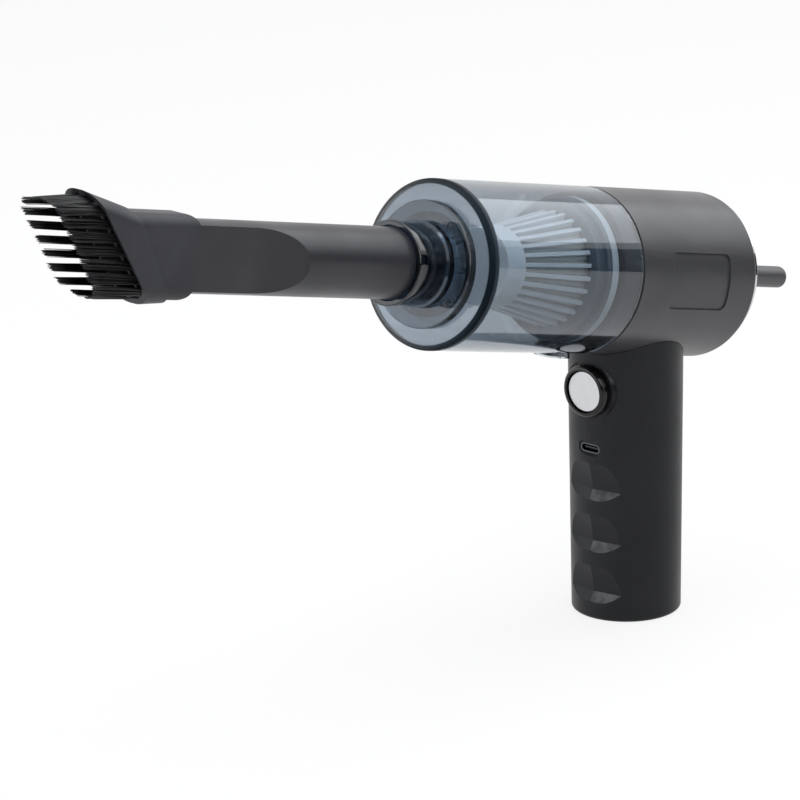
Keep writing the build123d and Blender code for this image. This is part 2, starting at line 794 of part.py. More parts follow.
with BuildPart() as release_spring:
    with BuildLine() as coil:
        Helix(
            spring_rise / release_spring_turns,
            spring_rise,
            release_spring_radius - release_spring_wire,
            center=spring_line - barrel_up * (spring_foot + release_spring_wire),
            direction=-barrel_up,
        )
    with BuildSketch(Plane(coil.line @ 0, z_dir=coil.line % 0)):
        Circle(release_spring_wire)
    sweep(is_frenet=True)
release_spring.part.label = "release_spring"
export_step(release_spring.part, "parts/release_spring.step")

# ---------------------------------------------------------------- crevice nozzle
nozzle_back = wall_back + 0.5
nozzle_front = nozzle_end + nozzle_radius * tan(radians(brush_slant))
lengthwise = Plane(origin=barrel_centre, x_dir=nose, z_dir=barrel_up)  # x ahead, y to +Y


def nozzle_form(radius, half_width, back):
    """Round tube form, scooped to a flat tip on both sides."""
    arc_middle = scoop_start + sqrt(2 * scoop_arc * (radius - half_width) - (radius - half_width) ** 2)
    with BuildPart() as form:
        with BuildSketch(across(back)):
            Circle(radius)
        extrude(amount=nozzle_front - back)
        with BuildSketch(lengthwise.offset(-2 * nozzle_radius)):
            with BuildLine():
                start = (scoop_start, radius)
                lean = radians(90) - acos((scoop_arc - (radius - half_width)) / scoop_arc) / 2
                middle = (
                    arc_middle - scoop_arc * cos(lean),
                    half_width + scoop_arc - scoop_arc * sin(lean),
                )
                ThreePointArc(start, middle, (arc_middle, half_width))
                Polyline(
                    (arc_middle, half_width),
                    (nozzle_front + 1, half_width),
                    (nozzle_front + 1, 2 * radius),
                    (scoop_start, 2 * radius),
                    start,
                )
            make_face()
            mirror(about=Plane.XZ)
        extrude(amount=4 * nozzle_radius, mode=Mode.SUBTRACT)
    return form.part


with BuildPart() as crevice_nozzle:
    add(nozzle_form(nozzle_radius, tip_half_width, nozzle_back))
    nozzle_inside = nozzle_form(nozzle_radius - nozzle_wall, tip_half_width - nozzle_wall, nozzle_back)
    add(nozzle_inside, mode=Mode.SUBTRACT)
    split(bisect_by=slanted(nozzle_end, brush_slant), keep=Keep.BOTTOM)
    fillet(crevice_nozzle.edges().filter_by(GeomType.CIRCLE).group_by(barrel_axis)[0], nozzle_wall * 0.3)
crevice_nozzle.part.label = "crevice_nozzle"
export_step(crevice_nozzle.part, "parts/crevice_nozzle.step")

# ---------------------------------------------------------------- brush head
socket_radius = nozzle_radius + moving_gap
socket_half_width = tip_half_width + moving_gap
head_back_plane = slanted(head_back, brush_back_slant)
mouth_plane = slanted(mouth_place, brush_slant)
stop_plane = slanted(nozzle_end + moving_gap, brush_slant)
channel_offset = mouth_width / 2 - mouth_wall / 2

with BuildPart() as nozzle_room:
    with BuildSketch(across(sleeve_back)):
        Circle(socket_radius)
        Rectangle(2 * socket_radius, 2 * socket_half_width, mode=Mode.INTERSECT)
    extrude(amount=mouth_place - sleeve_back + mouth_length)
    split(bisect_by=stop_plane, keep=Keep.BOTTOM)

with BuildPart() as mouth_room:
    with BuildSketch(stop_plane):
        stop_length = 2 * (socket_radius - sleeve_wall) / cos(radians(brush_slant))
        stop_half_width = socket_half_width - sleeve_wall
        RectangleRounded(stop_length, 2 * stop_half_width, stop_half_width - 0.1)
    with BuildSketch(mouth_plane):
        with Locations((mouth_shift, 0)):
            inner_width = mouth_width - 2 * mouth_wall
            RectangleRounded(mouth_length - 2 * mouth_wall, inner_width, inner_width * 0.45)
    loft()

with BuildPart() as brush_sleeve:
    # socket over the nozzle, then the flared head that leans like the mouth
    with BuildSketch(across(sleeve_back)):
        sleeve_width = 2 * (socket_half_width + sleeve_wall)
        RectangleRounded(2 * (socket_radius + sleeve_wall), sleeve_width, sleeve_corner)
    extrude(amount=head_back + nozzle_radius - sleeve_back)
    with BuildSketch(barrel_section):
        with Locations((0, head_back + nozzle_radius)):
            sleeve_span = 2 * (head_back + nozzle_radius - sleeve_back)
            RectangleRounded(2 * (socket_radius + sleeve_wall), sleeve_span, sleeve_back_corner)
    extrude(amount=mouth_width, both=True, mode=Mode.INTERSECT)
    split(bisect_by=head_back_plane.offset(1.0), keep=Keep.BOTTOM)
    with BuildSketch(head_back_plane):
        RectangleRounded(head_back_length, head_back_width, head_back_width * 0.45)
    with BuildSketch(mouth_plane):
        with Locations((mouth_shift, 0)):
            RectangleRounded(mouth_length, mouth_width, mouth_width * 0.45)
    loft()
    add(nozzle_room.part, mode=Mode.SUBTRACT)
    add(mouth_room.part, mode=Mode.SUBTRACT)
    with BuildSketch(mouth_plane):
        with Locations((mouth_shift, -channel_offset), (mouth_shift, channel_offset)):
            Rectangle(bristle_row_length, bristle_thickness)
    extrude(amount=-bristle_channel_depth, dir=nose, mode=Mode.SUBTRACT)
brush_sleeve.part.label = "brush_sleeve"
export_step(brush_sleeve.part, "parts/brush_sleeve.step")

# ---------------------------------------------------------------- bristles
lean = radians(brush_slant)
mouth_along = barrel_up * cos(lean) + nose * sin(lean)
mouth_middle = barrel_centre + nose * mouth_place + mouth_along * mouth_shift
tuft_pitch = bristle_row_length / tuft_count
tuft_spread = bristle_tip_row / bristle_row_length


def bristle_point(along, ahead):
    """A point so far along the slanted mouth, then so far ahead in the direction of the nose."""
    return (along + ahead * sin(lean), ahead * cos(lean))


comb_outline = [bristle_point(-bristle_row_length / 2, -bristle_channel_depth)]
for tuft in range(tuft_count):
    foot = tuft * tuft_pitch - bristle_row_length / 2
    comb_outline += [
        bristle_point(foot + tuft_gap * 0.3, bristle_sheet),
        bristle_point((foot + tuft_gap) * tuft_spread, bristle_reach),
        bristle_point((foot + tuft_pitch - tuft_gap) * tuft_spread, bristle_reach),
        bristle_point(foot + tuft_pitch - tuft_gap * 0.3, bristle_sheet),
    ]
comb_outline.append(bristle_point(bristle_row_length / 2, -bristle_channel_depth))

with BuildPart() as bristles_left:
    row_origin = mouth_middle + Vector(0, -channel_offset, 0)
    with BuildSketch(Plane(origin=row_origin, x_dir=mouth_along, z_dir=(0, -1, 0))):
        with BuildLine():
            Polyline(*comb_outline, close=True)
        make_face()
    extrude(amount=bristle_thickness / 2, both=True)
bristles_left.part.label = "bristles_left"
export_step(bristles_left.part, "parts/bristles_left.step")

with BuildPart() as bristles_right:
    row_origin = mouth_middle + Vector(0, channel_offset, 0)
    with BuildSketch(Plane(origin=row_origin, x_dir=mouth_along, z_dir=(0, -1, 0))):
        with BuildLine():
            Polyline(*comb_outline, close=True)
        make_face()
    extrude(amount=bristle_thickness / 2, both=True)
bristles_right.part.label = "bristles_right"
export_step(bristles_right.part, "parts/bristles_right.step")

# ---------------------------------------------------------------- handle
handle_top = barrel_height - barrel_radius / 2


def handle_radius(height):
    """Outer radius of the tapered handle."""
    return handle_bottom_radius + handle_radius_slope * height


usb_recess_floor = handle_radius(usb_height) - usb_recess_depth
scoop_top = scoop_lips[0] + scoop_height
strip_bottom = handle_floor + end_cap_flange_thickness

with BuildPart() as handle_shell:
    with BuildSketch(Plane.XZ):
        with BuildLine():
            Polyline(
                (end_cap_radius, 0),
                (handle_radius(0), 0),
                (handle_radius(handle_top), handle_top),
                (handle_radius(handle_top) - handle_wall, handle_top),
                (handle_radius(handle_floor) - handle_wall, handle_floor),
                (end_cap_radius, handle_floor),
                close=True,
            )
        make_face()
    revolve(axis=Axis.Z)
    fillet(handle_shell.edges().group_by(Axis.Z)[0].sort_by(SortBy.RADIUS)[-1], handle_edge_fillet)
    # thicker wall behind the finger scoops, and the round pad that the button sits on
    with BuildSketch(Plane.XY.offset(strip_bottom)):
        Circle(handle_radius(0) - handle_wall / 2)
        with Locations((handle_radius(0) - scoop_backing, 0)):
            Rectangle(4 * handle_radius(0) - 4 * scoop_backing, 3 * handle_radius(0), mode=Mode.SUBTRACT)
    extrude(amount=scoop_top - strip_bottom)
    with BuildSketch(facing(button_height, bezel_back)):
        Circle(pad_radius)
    extrude(amount=pad_face - bezel_back)
    with BuildSketch(facing(button_height, bezel_back - 2 * handle_wall)):
        Circle(bezel_radius)
    extrude(amount=2 * handle_radius(0), mode=Mode.SUBTRACT)
    # charging inlet and light
    with BuildSketch(facing(usb_height, usb_recess_floor)):
        SlotOverall(usb_recess_width, usb_recess_thickness)
    extrude(amount=handle_wall * 2, mode=Mode.SUBTRACT)
    with BuildSketch(facing(usb_height, usb_recess_floor - 2 * handle_wall)):
        SlotOverall(usb_width + 2 * usb_gap, usb_thickness + 2 * usb_gap)
    extrude(amount=4 * handle_wall, mode=Mode.SUBTRACT)
    with BuildSketch(facing(usb_height + light_rise, usb_recess_floor - 2 * handle_wall)):
        Circle(light_radius)
    extrude(amount=4 * handle_wall, mode=Mode.SUBTRACT)
    # finger scoops: a steep shelf below, running out upwards, in two facets that meet at the front
    for side in (-1, 1):
        with BuildSketch(Plane.XZ):
            for lip in scoop_lips:
                face = -handle_radius(lip)
                shelf_top = (face + scoop_depth, lip + scoop_lip_rise)
                shelf_foot = (face - scoop_depth, lip - scoop_lip_rise)
                scoop_end = (face - 0.1, lip + scoop_height)
                with BuildLine():
                    Line(shelf_foot, shelf_top)
                    hollow = (face + scoop_depth * 0.8, lip + scoop_height * 0.5)
                    ThreePointArc(shelf_top, hollow, scoop_end)
                    Polyline(scoop_end, (face - scoop_depth, lip + scoop_height), shelf_foot)
                make_face()
        extrude(amount=handle_radius(0), dir=(scoop_facet_slope, side, 0), mode=Mode.SUBTRACT)
    # saddle under the barrel
    with BuildSketch(across(-2 * handle_radius(0))):
        Circle(barrel_radius + handle_joint_gap)
    extrude(amount=4 * handle_radius(0), mode=Mode.SUBTRACT)
handle_shell.part.label = "handle_shell"
export_step(handle_shell.part, "parts/handle_shell.step")

with BuildPart() as handle_end_cap:
    with BuildSketch(Plane.XZ):
        with BuildLine():
            Polyline(
                (0, 0),
                (end_cap_radius - 0.05, 0),
                (end_cap_radius - 0.05, handle_floor),
                (end_cap_radius + end_cap_flange, handle_floor),
                (end_cap_radius + end_cap_flange, handle_floor + end_cap_flange_thickness),
                (0, handle_floor + end_cap_flange_thickness),
                close=True,
            )
        make_face()
    revolve(axis=Axis.Z)
handle_end_cap.part.label = "handle_end_cap"
export_step(handle_end_cap.part, "parts/handle_end_cap.step")

# ---------------------------------------------------------------- cells, contacts and holder
cell_pitch = 2 * cell_radius + cell_gap
cell_bottom = strip_bottom + contact_thickness
cell_top = cell_bottom + cell_length + cell_nub
cell_places = ((cell_back, -cell_pitch / 2), (cell_back, cell_pitch / 2))

with BuildPart() as battery_cells:
    with BuildSketch(Plane.XY.offset(cell_bottom)):
        with Locations(*cell_places):
            Circle(cell_radius)
    extrude(amount=cell_length)
    fillet(battery_cells.edges().filter_by(GeomType.CIRCLE), 0.6)
    with BuildSketch(Plane.XY.offset(cell_bottom + cell_length)):
        with Locations(*cell_places):
            Circle(cell_nub_radius)
    extrude(amount=cell_nub)
battery_cells.part.label = "battery_cells"
export_step(battery_cells.part, "parts/battery_cells.step")

with BuildPart() as battery_contacts:
    with BuildSketch(Plane.XY.offset(strip_bottom)):
        with Locations((cell_back, 0)):
            Rectangle(contact_width, cell_pitch + contact_width)
    extrude(amount=contact_thickness)
    with BuildSketch(Plane.XY.offset(cell_top)):
        with Locations(*cell_places):
            Rectangle(contact_width, contact_width)
    extrude(amount=contact_thickness)
battery_contacts.part.label = "battery_contacts"
export_step(battery_contacts.part, "parts/battery_contacts.step")

board_back = board_front - board_thickness
with BuildPart() as battery_holder:
    with BuildSketch(Plane.XY.offset(cell_top + contact_thickness)):
        Circle(handle_radius(0) - handle_wall - 0.1)
        with Locations((-board_back - handle_radius(0) + 0.3, 0)):
            Rectangle(2 * handle_radius(0), 3 * handle_radius(0), mode=Mode.SUBTRACT)
    extrude(amount=holder_thickness)
battery_holder.part.label = "battery_holder"
export_step(battery_holder.part, "parts/battery_holder.step")

# ---------------------------------------------------------------- circuit board, switch, inlet, light
with BuildPart() as circuit_board:
    with BuildSketch(facing((board_bottom + board_top) / 2, board_front)):
        RectangleRounded(board_width, board_top - board_bottom, 1.0)
    extrude(amount=-board_thickness)
circuit_board.part.label = "circuit_board"
export_step(circuit_board.part, "parts/circuit_board.step")

with BuildPart() as tact_switch:
    with BuildSketch(facing(button_height, board_front)):
        RectangleRounded(switch_size, switch_size, 0.6)
    extrude(amount=switch_thickness)
    with BuildSketch(facing(button_height, board_front + switch_thickness)):
        Circle(switch_plunger_radius)
    extrude(amount=switch_plunger_length)
tact_switch.part.label = "tact_switch"
export_step(tact_switch.part, "parts/tact_switch.step")

with BuildPart() as usb_c_shell:
    with BuildSketch(facing(usb_height, board_front)):
        SlotOverall(usb_width, usb_thickness)
        SlotOverall(usb_width - 2 * usb_shell_wall, usb_thickness - 2 * usb_shell_wall, mode=Mode.SUBTRACT)
    extrude(amount=usb_recess_floor - board_front)
usb_c_shell.part.label = "usb_c_shell"
export_step(usb_c_shell.part, "parts/usb_c_shell.step")

with BuildPart() as usb_c_tongue:
    with BuildSketch(facing(usb_height, board_front)):
        Rectangle(tongue_width, tongue_thickness)
    extrude(amount=usb_recess_floor - board_front - tongue_set_back)
usb_c_tongue.part.label = "usb_c_tongue"
export_step(usb_c_tongue.part, "parts/usb_c_tongue.step")

with BuildPart() as charge_light:
    with BuildSketch(facing(usb_height + light_rise, board_front)):
        Circle(light_radius)
    extrude(amount=handle_radius(usb_height + light_rise) - board_front - 0.1)
charge_light.part.label = "charge_light"
export_step(charge_light.part, "parts/charge_light.step")

# ---------------------------------------------------------------- power button
flange_front = bezel_face - bezel_lip - moving_gap
flange_back = flange_front - button_flange_thickness
stem_back = board_front + switch_thickness + switch_plunger_length + moving_gap + button_travel
disc_back = button_face - button_disc_thickness

with BuildPart() as button_bezel:
    with BuildSketch(Plane(origin=(0, 0, button_height), x_dir=(0, 0, 1), z_dir=(0, 1, 0))):
        with BuildLine():
            Polyline(
                (bezel_bore, -bezel_face),
                (bezel_radius, -bezel_face),
                (bezel_radius, -bezel_back),
                (bezel_inner_bore, -bezel_back),
                (bezel_inner_bore, -(bezel_face - bezel_lip)),
                (bezel_bore, -(bezel_face - bezel_lip)),
                close=True,
            )
        make_face()
    revolve(axis=Axis((0, 0, button_height), (1, 0, 0)))
    bezel_edges = button_bezel.edges().filter_by(GeomType.CIRCLE).group_by(Axis.X)[0]
    fillet(bezel_edges.sort_by(SortBy.RADIUS)[-1], min(bezel_round, bezel_radius - bezel_bore - 0.3))
button_bezel.part.label = "button_bezel"
export_step(button_bezel.part, "parts/button_bezel.step")

with BuildPart() as button_cap:
    with BuildSketch(facing(button_height, flange_back)):
        Circle(bezel_inner_bore - moving_gap)
    extrude(amount=button_flange_thickness)
    with BuildSketch(facing(button_height, flange_front)):
        Circle(bezel_bore - moving_gap)
    extrude(amount=disc_back - flange_front)
    with BuildSketch(facing(button_height, stem_back)):
        Circle(button_stem_radius)
    extrude(amount=flange_back - stem_back)
button_cap.part.label = "button_cap"
export_step(button_cap.part, "parts/button_cap.step")

with BuildPart() as button_disc:
    with BuildSketch(facing(button_height, disc_back)):
        Circle(button_disc_radius)
    extrude(amount=button_disc_thickness)
    fillet(button_disc.edges().group_by(Axis.X)[0], button_disc_thickness * 0.35)
button_disc.part.label = "button_disc"
export_step(button_disc.part, "parts/button_disc.step")

coil_back = board_front + 0.1 + button_spring_wire
coil_rise = flange_back - 0.1 - button_spring_wire - coil_back
with BuildPart() as button_spring:
    with BuildLine() as coil:
        Helix(
            coil_rise / button_spring_turns,
            coil_rise,
            button_spring_radius - button_spring_wire,
            center=(-coil_back, 0, button_height),
            direction=(-1, 0, 0),
        )
    with BuildSketch(Plane(coil.line @ 0, z_dir=coil.line % 0)):
        Circle(button_spring_wire)
    sweep(is_frenet=True)
button_spring.part.label = "button_spring"
export_step(button_spring.part, "parts/button_spring.step")

# ---------------------------------------------------------------- leads from the board to the motor
lead_below = (motor_radius + housing_inner) / 2
lead_terminal_below = motor_radius * 0.66
lead_height = board_top - lead_below_board_top
lead_rise_height = barrel_height - (lead_below - lead_rise_x * sin(tilt)) / cos(tilt)


def inside_barrel(ahead, below, aside):
    """A point in the housing, so far ahead and so far under the barrel's axis."""
    return barrel_centre + nose * ahead - barrel_up * below + Vector(0, aside, 0)


for lead_name, aside in (("motor_lead_black", -lead_spacing / 2), ("motor_lead_red", lead_spacing / 2)):
    with BuildPart() as motor_lead:
        with BuildLine() as route:
            FilletPolyline(
                (-board_back, aside, lead_height),
                (-lead_rise_x, aside, lead_height),
                (-lead_rise_x, aside, lead_rise_height),
                inside_barrel(motor_back - lead_behind_motor, lead_below, aside),
                inside_barrel(motor_back - lead_behind_motor, lead_terminal_below, aside),
                inside_barrel(motor_back, lead_terminal_below, aside),
                radius=lead_bends,
            )
        with BuildSketch(Plane(route.line @ 0, z_dir=route.line % 0)):
            Circle(lead_radius)
        sweep()
    motor_lead.part.label = lead_name
    export_step(motor_lead.part, f"parts/{lead_name}.step")
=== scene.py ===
import random
from math import cos, pi, radians, sin

import bmesh
import bpy
from mathutils import Matrix, Vector


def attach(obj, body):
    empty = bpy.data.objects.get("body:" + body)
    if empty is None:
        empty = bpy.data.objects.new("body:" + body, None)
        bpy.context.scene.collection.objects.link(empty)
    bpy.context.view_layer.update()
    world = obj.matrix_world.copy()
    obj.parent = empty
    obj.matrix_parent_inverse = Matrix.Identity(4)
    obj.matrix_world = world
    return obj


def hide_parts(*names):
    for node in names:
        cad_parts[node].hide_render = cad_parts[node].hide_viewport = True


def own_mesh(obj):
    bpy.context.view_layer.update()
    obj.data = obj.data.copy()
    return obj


# A small cordless desk vacuum. The tilted barrel holds the motor behind and a clear dust cup in front,
# with a crevice nozzle and a brush head ahead of it, and the whole stands on the flat end of its handle.
# Lengths are in metres; -X is towards the nose, +Z is up, and the side with the recessed panel faces -Y.
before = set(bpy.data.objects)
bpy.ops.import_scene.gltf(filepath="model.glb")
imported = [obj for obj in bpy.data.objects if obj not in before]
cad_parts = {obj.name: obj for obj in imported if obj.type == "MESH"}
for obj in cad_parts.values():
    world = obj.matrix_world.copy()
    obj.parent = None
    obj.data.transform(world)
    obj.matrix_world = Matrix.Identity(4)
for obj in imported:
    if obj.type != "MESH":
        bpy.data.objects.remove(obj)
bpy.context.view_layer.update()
mm = 0.001

# The barrel leans back: its axis crosses the handle's at barrel_middle and points along nose.
barrel_tilt = radians(13.84)
barrel_middle = Vector((0.0, 0.0, 131.3)) * mm
barrel_up = Vector((0.239212, 0.0, 0.970967))
nose = Vector((-0.970967, 0.0, 0.239212))


def barrel_place(up, side, ahead):
    """A point from its distances, in mm, up from the barrel's axis, to the panel's far side and ahead."""
    return barrel_middle + (barrel_up * up + Vector((0.0, side, 0.0)) + nose * ahead) * mm


# ---------------------------------------------------------------- table and room
# The vacuum stands on a white laminate table in a white room. Both read as clean white to the eye and in
# gloss, and the table keeps a faint contact shadow.
table_half_width = 4.0
table_glow = 0.82             # share of the room's white that the table sends to the eye
table_colour = "#f6f6f6"
room_colour = "#ffffff"
room_strength = 0.30


def linear(colour):
    """The linear RGBA of an sRGB hex colour."""
    parts = [int(colour[i:i + 2], 16) / 255 for i in (1, 3, 5)]
    return [p / 12.92 if p <= 0.04045 else ((p + 0.055) / 1.055) ** 2.4 for p in parts] + [1.0]


def add_node(tree, kind, inputs=(), **settings):
    """Add a node: its settings are properties, its inputs pair a socket with a value or an output."""
    made = tree.nodes.new(kind)
    for name, value in settings.items():
        setattr(made, name, value)
    for socket, value in dict(inputs).items():
        if isinstance(value, bpy.types.NodeSocket):
            tree.links.new(value, made.inputs[socket])
        else:
            made.inputs[socket].default_value = value
    return made


def colour_between(tree, share, colour, other_colour):
    """A colour socket that goes from one sRGB colour to another as the share goes from 0 to 1."""
    blend = add_node(tree, "ShaderNodeMix", {0: share, 6: linear(colour), 7: linear(other_colour)},
                     data_type="RGBA")
    return blend.outputs[2]


def empty_material(name):
    """A material with an empty node tree."""
    material = bpy.data.materials.new(name)
    material.use_nodes = True
    material.node_tree.nodes.clear()
    return material


def seen_directly(tree):
    """1 for what the eye sees, straight, in gloss or through something clear, and 0 for stray light."""
    path = add_node(tree, "ShaderNodeLightPath")
    gloss = add_node(tree, "ShaderNodeMath", {0: path.outputs["Is Camera Ray"],
                                              1: path.outputs["Is Glossy Ray"]}, operation="MAXIMUM")
    return add_node(tree, "ShaderNodeMath", {0: gloss.outputs[0],
                                             1: path.outputs["Is Transmission Ray"]}, operation="MAXIMUM")


table_material = empty_material("white_laminate")
tree = table_material.node_tree
laminate = add_node(tree, "ShaderNodeBsdfPrincipled", {"Base Color": linear(table_colour),
                                                       "Roughness": 0.6})
glow = add_node(tree, "ShaderNodeEmission", {"Color": linear(room_colour), "Strength": 1.0})
share = add_node(tree, "ShaderNodeMath", {0: seen_directly(tree).outputs[0], 1: table_glow},
                 operation="MULTIPLY")
surface = add_node(tree, "ShaderNodeMixShader", {0: share.outputs[0], 1: laminate.outputs[0],
                                                 2: glow.outputs[0]})
add_node(tree, "ShaderNodeOutputMaterial", {"Surface": surface.outputs[0]})

table_mesh = bmesh.new()
bmesh.ops.create_grid(table_mesh, x_segments=1, y_segments=1, size=table_half_width)
table_data = bpy.data.meshes.new("table")
table_mesh.to_mesh(table_data)
table_mesh.free()
table = bpy.data.objects.new("table", table_data)
bpy.context.scene.collection.objects.link(table)
table.data.materials.append(table_material)

room = bpy.data.worlds.new("white_room")
bpy.context.scene.world = room
room.use_nodes = True
tree = room.node_tree
tree.nodes.clear()
strength = add_node(tree, "ShaderNodeMapRange", {"Value": seen_directly(tree).outputs[0],
                                                 "To Min": room_strength, "To Max": 1.0})
background = add_node(tree, "ShaderNodeBackground", {"Color": linear(room_colour),
                                                     "Strength": strength.outputs[0]})
add_node(tree, "ShaderNodeOutputWorld", {"Surface": background.outputs[0]})

# ---------------------------------------------------------------- lamps and camera
# Soft boxes on stands: one overhead, one behind the handle's side, one at the far left that the cup's front
# mirrors, and one over the camera. Two dark cards, which show only in gloss, keep the smooth sides deep.
object_middle = Vector((-0.10, 0.0, 0.13))
lamp_colour = (0.94, 0.97, 1.0)      # daylight tubes, a little cool
felt_colour = "#0c0c0c"
soft_boxes = (
    # name, direction from the object, distance, width, height, brightness
    ("soft_box_top", (0.05, -0.10, 1.0), 1.2, 1.6, 1.2, 2.7),
    ("soft_box_right", (0.84, -0.12, 0.52), 1.6, 1.2, 0.85, 1.6),
    ("soft_box_left", (-0.75, 0.65, 0.12), 1.5, 2.0, 1.0, 1.3),
    ("soft_box_front", (-0.45, -0.75, 0.60), 2.2, 1.5, 1.2, 1.5),
)
dark_cards = (
    # name, direction from the object, distance, width, height
    ("dark_card_front", (-0.72, -0.66, 0.20), 2.6, 2.6, 1.1),
    ("dark_card_right", (0.70, -0.68, 0.05), 1.5, 1.8, 0.50),
)

for name, direction, distance, width, height, brightness in soft_boxes:
    lamp = bpy.data.lights.new(name, "AREA")
    lamp.shape = "RECTANGLE"
    lamp.size = width
    lamp.size_y = height
    lamp.energy = brightness * pi * width * height
    lamp.color = lamp_colour
    box = bpy.data.objects.new(name, lamp)
    away = Vector(direction).normalized()
    box.location = object_middle + away * distance
    box.rotation_euler = away.to_track_quat("Z", "Y").to_euler()
    box.visible_camera = False
    bpy.context.scene.collection.objects.link(box)

black_felt = empty_material("black_felt")
tree = black_felt.node_tree
felt = add_node(tree, "ShaderNodeBsdfPrincipled", {"Base Color": linear(felt_colour), "Roughness": 1.0,
                                                   "Specular IOR Level": 0.0})
add_node(tree, "ShaderNodeOutputMaterial", {"Surface": felt.outputs[0]})
for name, direction, distance, width, height in dark_cards:
    away = Vector(direction).normalized()
    card_mesh = bmesh.new()
    bmesh.ops.create_grid(card_mesh, x_segments=1, y_segments=1, size=0.5)
    bmesh.ops.scale(card_mesh, verts=card_mesh.verts, vec=(width, height, 1))
    turn = away.to_track_quat("Z", "Y").to_matrix().to_4x4()
    bmesh.ops.transform(card_mesh, verts=card_mesh.verts,
                        matrix=Matrix.Translation(object_middle + away * distance) @ turn)
    card_data = bpy.data.meshes.new(name)
    card_mesh.to_mesh(card_data)
    card_mesh.free()
    card = bpy.data.objects.new(name, card_data)
    card.data.materials.append(black_felt)
    for ray in ("visible_camera", "visible_diffuse", "visible_transmission", "visible_shadow"):
        setattr(card, ray, False)
    bpy.context.scene.collection.objects.link(card)

# long lens, level with the barrel's side and a little above it
lens_length = 270.0
camera_place = Vector((-1.63333, -1.392163, 0.751498))
camera_turn = radians(42.699)
camera_rise = radians(17.327)
camera_roll = radians(-0.813)

backward = Vector((-cos(camera_rise) * cos(camera_turn), -cos(camera_rise) * sin(camera_turn),
                   sin(camera_rise)))
right = Vector((0, 0, 1)).cross(backward).normalized()
upward = backward.cross(right)
rolled_right = right * cos(camera_roll) + upward * sin(camera_roll)
rolled_up = upward * cos(camera_roll) - right * sin(camera_roll)
camera_data = bpy.data.cameras.new("long_lens")
camera_data.lens = lens_length
camera_data.sensor_width = 36.0
camera_data.clip_end = 50.0
camera = bpy.data.objects.new("camera", camera_data)
camera.matrix_world = Matrix.Translation(camera_place) @ Matrix(
    (rolled_right, rolled_up, backward)).transposed().to_4x4()
bpy.context.scene.collection.objects.link(camera)
bpy.context.scene.camera = camera
bpy.context.scene.view_settings.view_transform = "Standard"

# ---------------------------------------------------------------- motor housing
# A drum of dark grey ABS, injection moulded against a spark-eroded steel tool. Its skin is matt with a fine
# pebble grain, and its gloss is broad and soft. A bare panel for a plate is sunk into its side, and the
# handle's shell fits up against its underside.
housing_colour = "#323235"
housing_worn_colour = "#3b3b3e"
edge_round = 0.25             # mm, the small radius that every moulded edge has


def moulded_abs(name, colour, worn_colour, roughness, gloss=0.5, grain=0.6, grain_depth=0.06,
                painted_highlight_colour=None):
    """Matt moulded ABS. The grain is a pebble texture, in mm, drawn a little coarser than the real 0.2.
    A highlight colour is painted on ledges that face up and to the panel's side, where the lamps at the
    front and right light them."""
    material = empty_material(name)
    tree = material.node_tree
    place = add_node(tree, "ShaderNodeTexCoord")
    pebbles = add_node(tree, "ShaderNodeTexNoise", {"Vector": place.outputs["Object"],
                                                    "Scale": 1 / (grain * mm), "Detail": 3.0,
                                                    "Roughness": 0.55})
    # broad cloudy change of tone, as plastic shows where it cooled unevenly and where hands have rubbed it
    clouds = add_node(tree, "ShaderNodeTexNoise", {"Vector": place.outputs["Object"],
                                                   "Scale": 1 / (28 * mm), "Detail": 4.0})
    tone = add_node(tree, "ShaderNodeMapRange", {"Value": clouds.outputs[0], "From Min": 0.35,
                                                 "From Max": 0.75})
    shade = colour_between(tree, tone.outputs[0], colour, worn_colour)
    # painted highlight: ledges facing up and to the panel's side get a lighter colour, in patches
    if painted_highlight_colour:
        facing = add_node(tree, "ShaderNodeNewGeometry")
        faces = add_node(tree, "ShaderNodeSeparateXYZ", {0: facing.outputs["Normal"]})
        to_top = add_node(tree, "ShaderNodeMapRange", {"Value": faces.outputs["Z"], "From Min": 0.3,
                                                       "From Max": 0.48})
        to_side = add_node(tree, "ShaderNodeMapRange", {"Value": faces.outputs["Y"], "From Min": -0.04,
                                                        "From Max": -0.11})
        highlight_patches = add_node(tree, "ShaderNodeTexNoise", {"Vector": place.outputs["Object"],
                                                      "Scale": 1 / (4 * mm), "Detail": 1.0})
        patchy = add_node(tree, "ShaderNodeMapRange", {"Value": highlight_patches.outputs[0], "From Min": 0.1,
                                                       "From Max": 0.8})
        ledge = add_node(tree, "ShaderNodeMath", {0: to_top.outputs[0], 1: to_side.outputs[0]},
                         operation="MULTIPLY")
        painted_highlight_share = add_node(tree, "ShaderNodeMath", {0: ledge.outputs[0], 1: patchy.outputs[0]},
                        operation="MULTIPLY")
        shade = add_node(tree, "ShaderNodeMix", {0: painted_highlight_share.outputs[0], 6: shade,
                                                 7: linear(painted_highlight_colour)}, data_type="RGBA").outputs[2]
    rub = add_node(tree, "ShaderNodeMapRange", {"Value": clouds.outputs[0], "From Min": 0.3,
                                                "From Max": 0.7, "To Min": roughness + 0.05,
                                                "To Max": roughness - 0.05})
    edges = add_node(tree, "ShaderNodeBevel", {"Radius": edge_round * mm}, samples=4)
    skin = add_node(tree, "ShaderNodeBump", {"Height": pebbles.outputs[0], "Strength": 0.25,
                                             "Distance": grain_depth * mm, "Normal": edges.outputs[0]})
    shader = add_node(tree, "ShaderNodeBsdfPrincipled", {
        "Base Color": shade, "Roughness": rub.outputs[0], "Normal": skin.outputs[0],
        "IOR": 1.53, "Specular IOR Level": gloss})
    add_node(tree, "ShaderNodeOutputMaterial", {"Surface": shader.outputs[0]})
    return material


def finish_node(node, material):
    """Give a CAD node its material."""
    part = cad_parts[node]
    part.data.materials.clear()
    part.data.materials.append(material)
    return part


housing_abs = moulded_abs("grey_moulded_abs", housing_colour, housing_worn_colour,
                          roughness=0.36, gloss=0.4, grain=0.5, grain_depth=0.015)
finish_node("motor_housing", housing_abs)

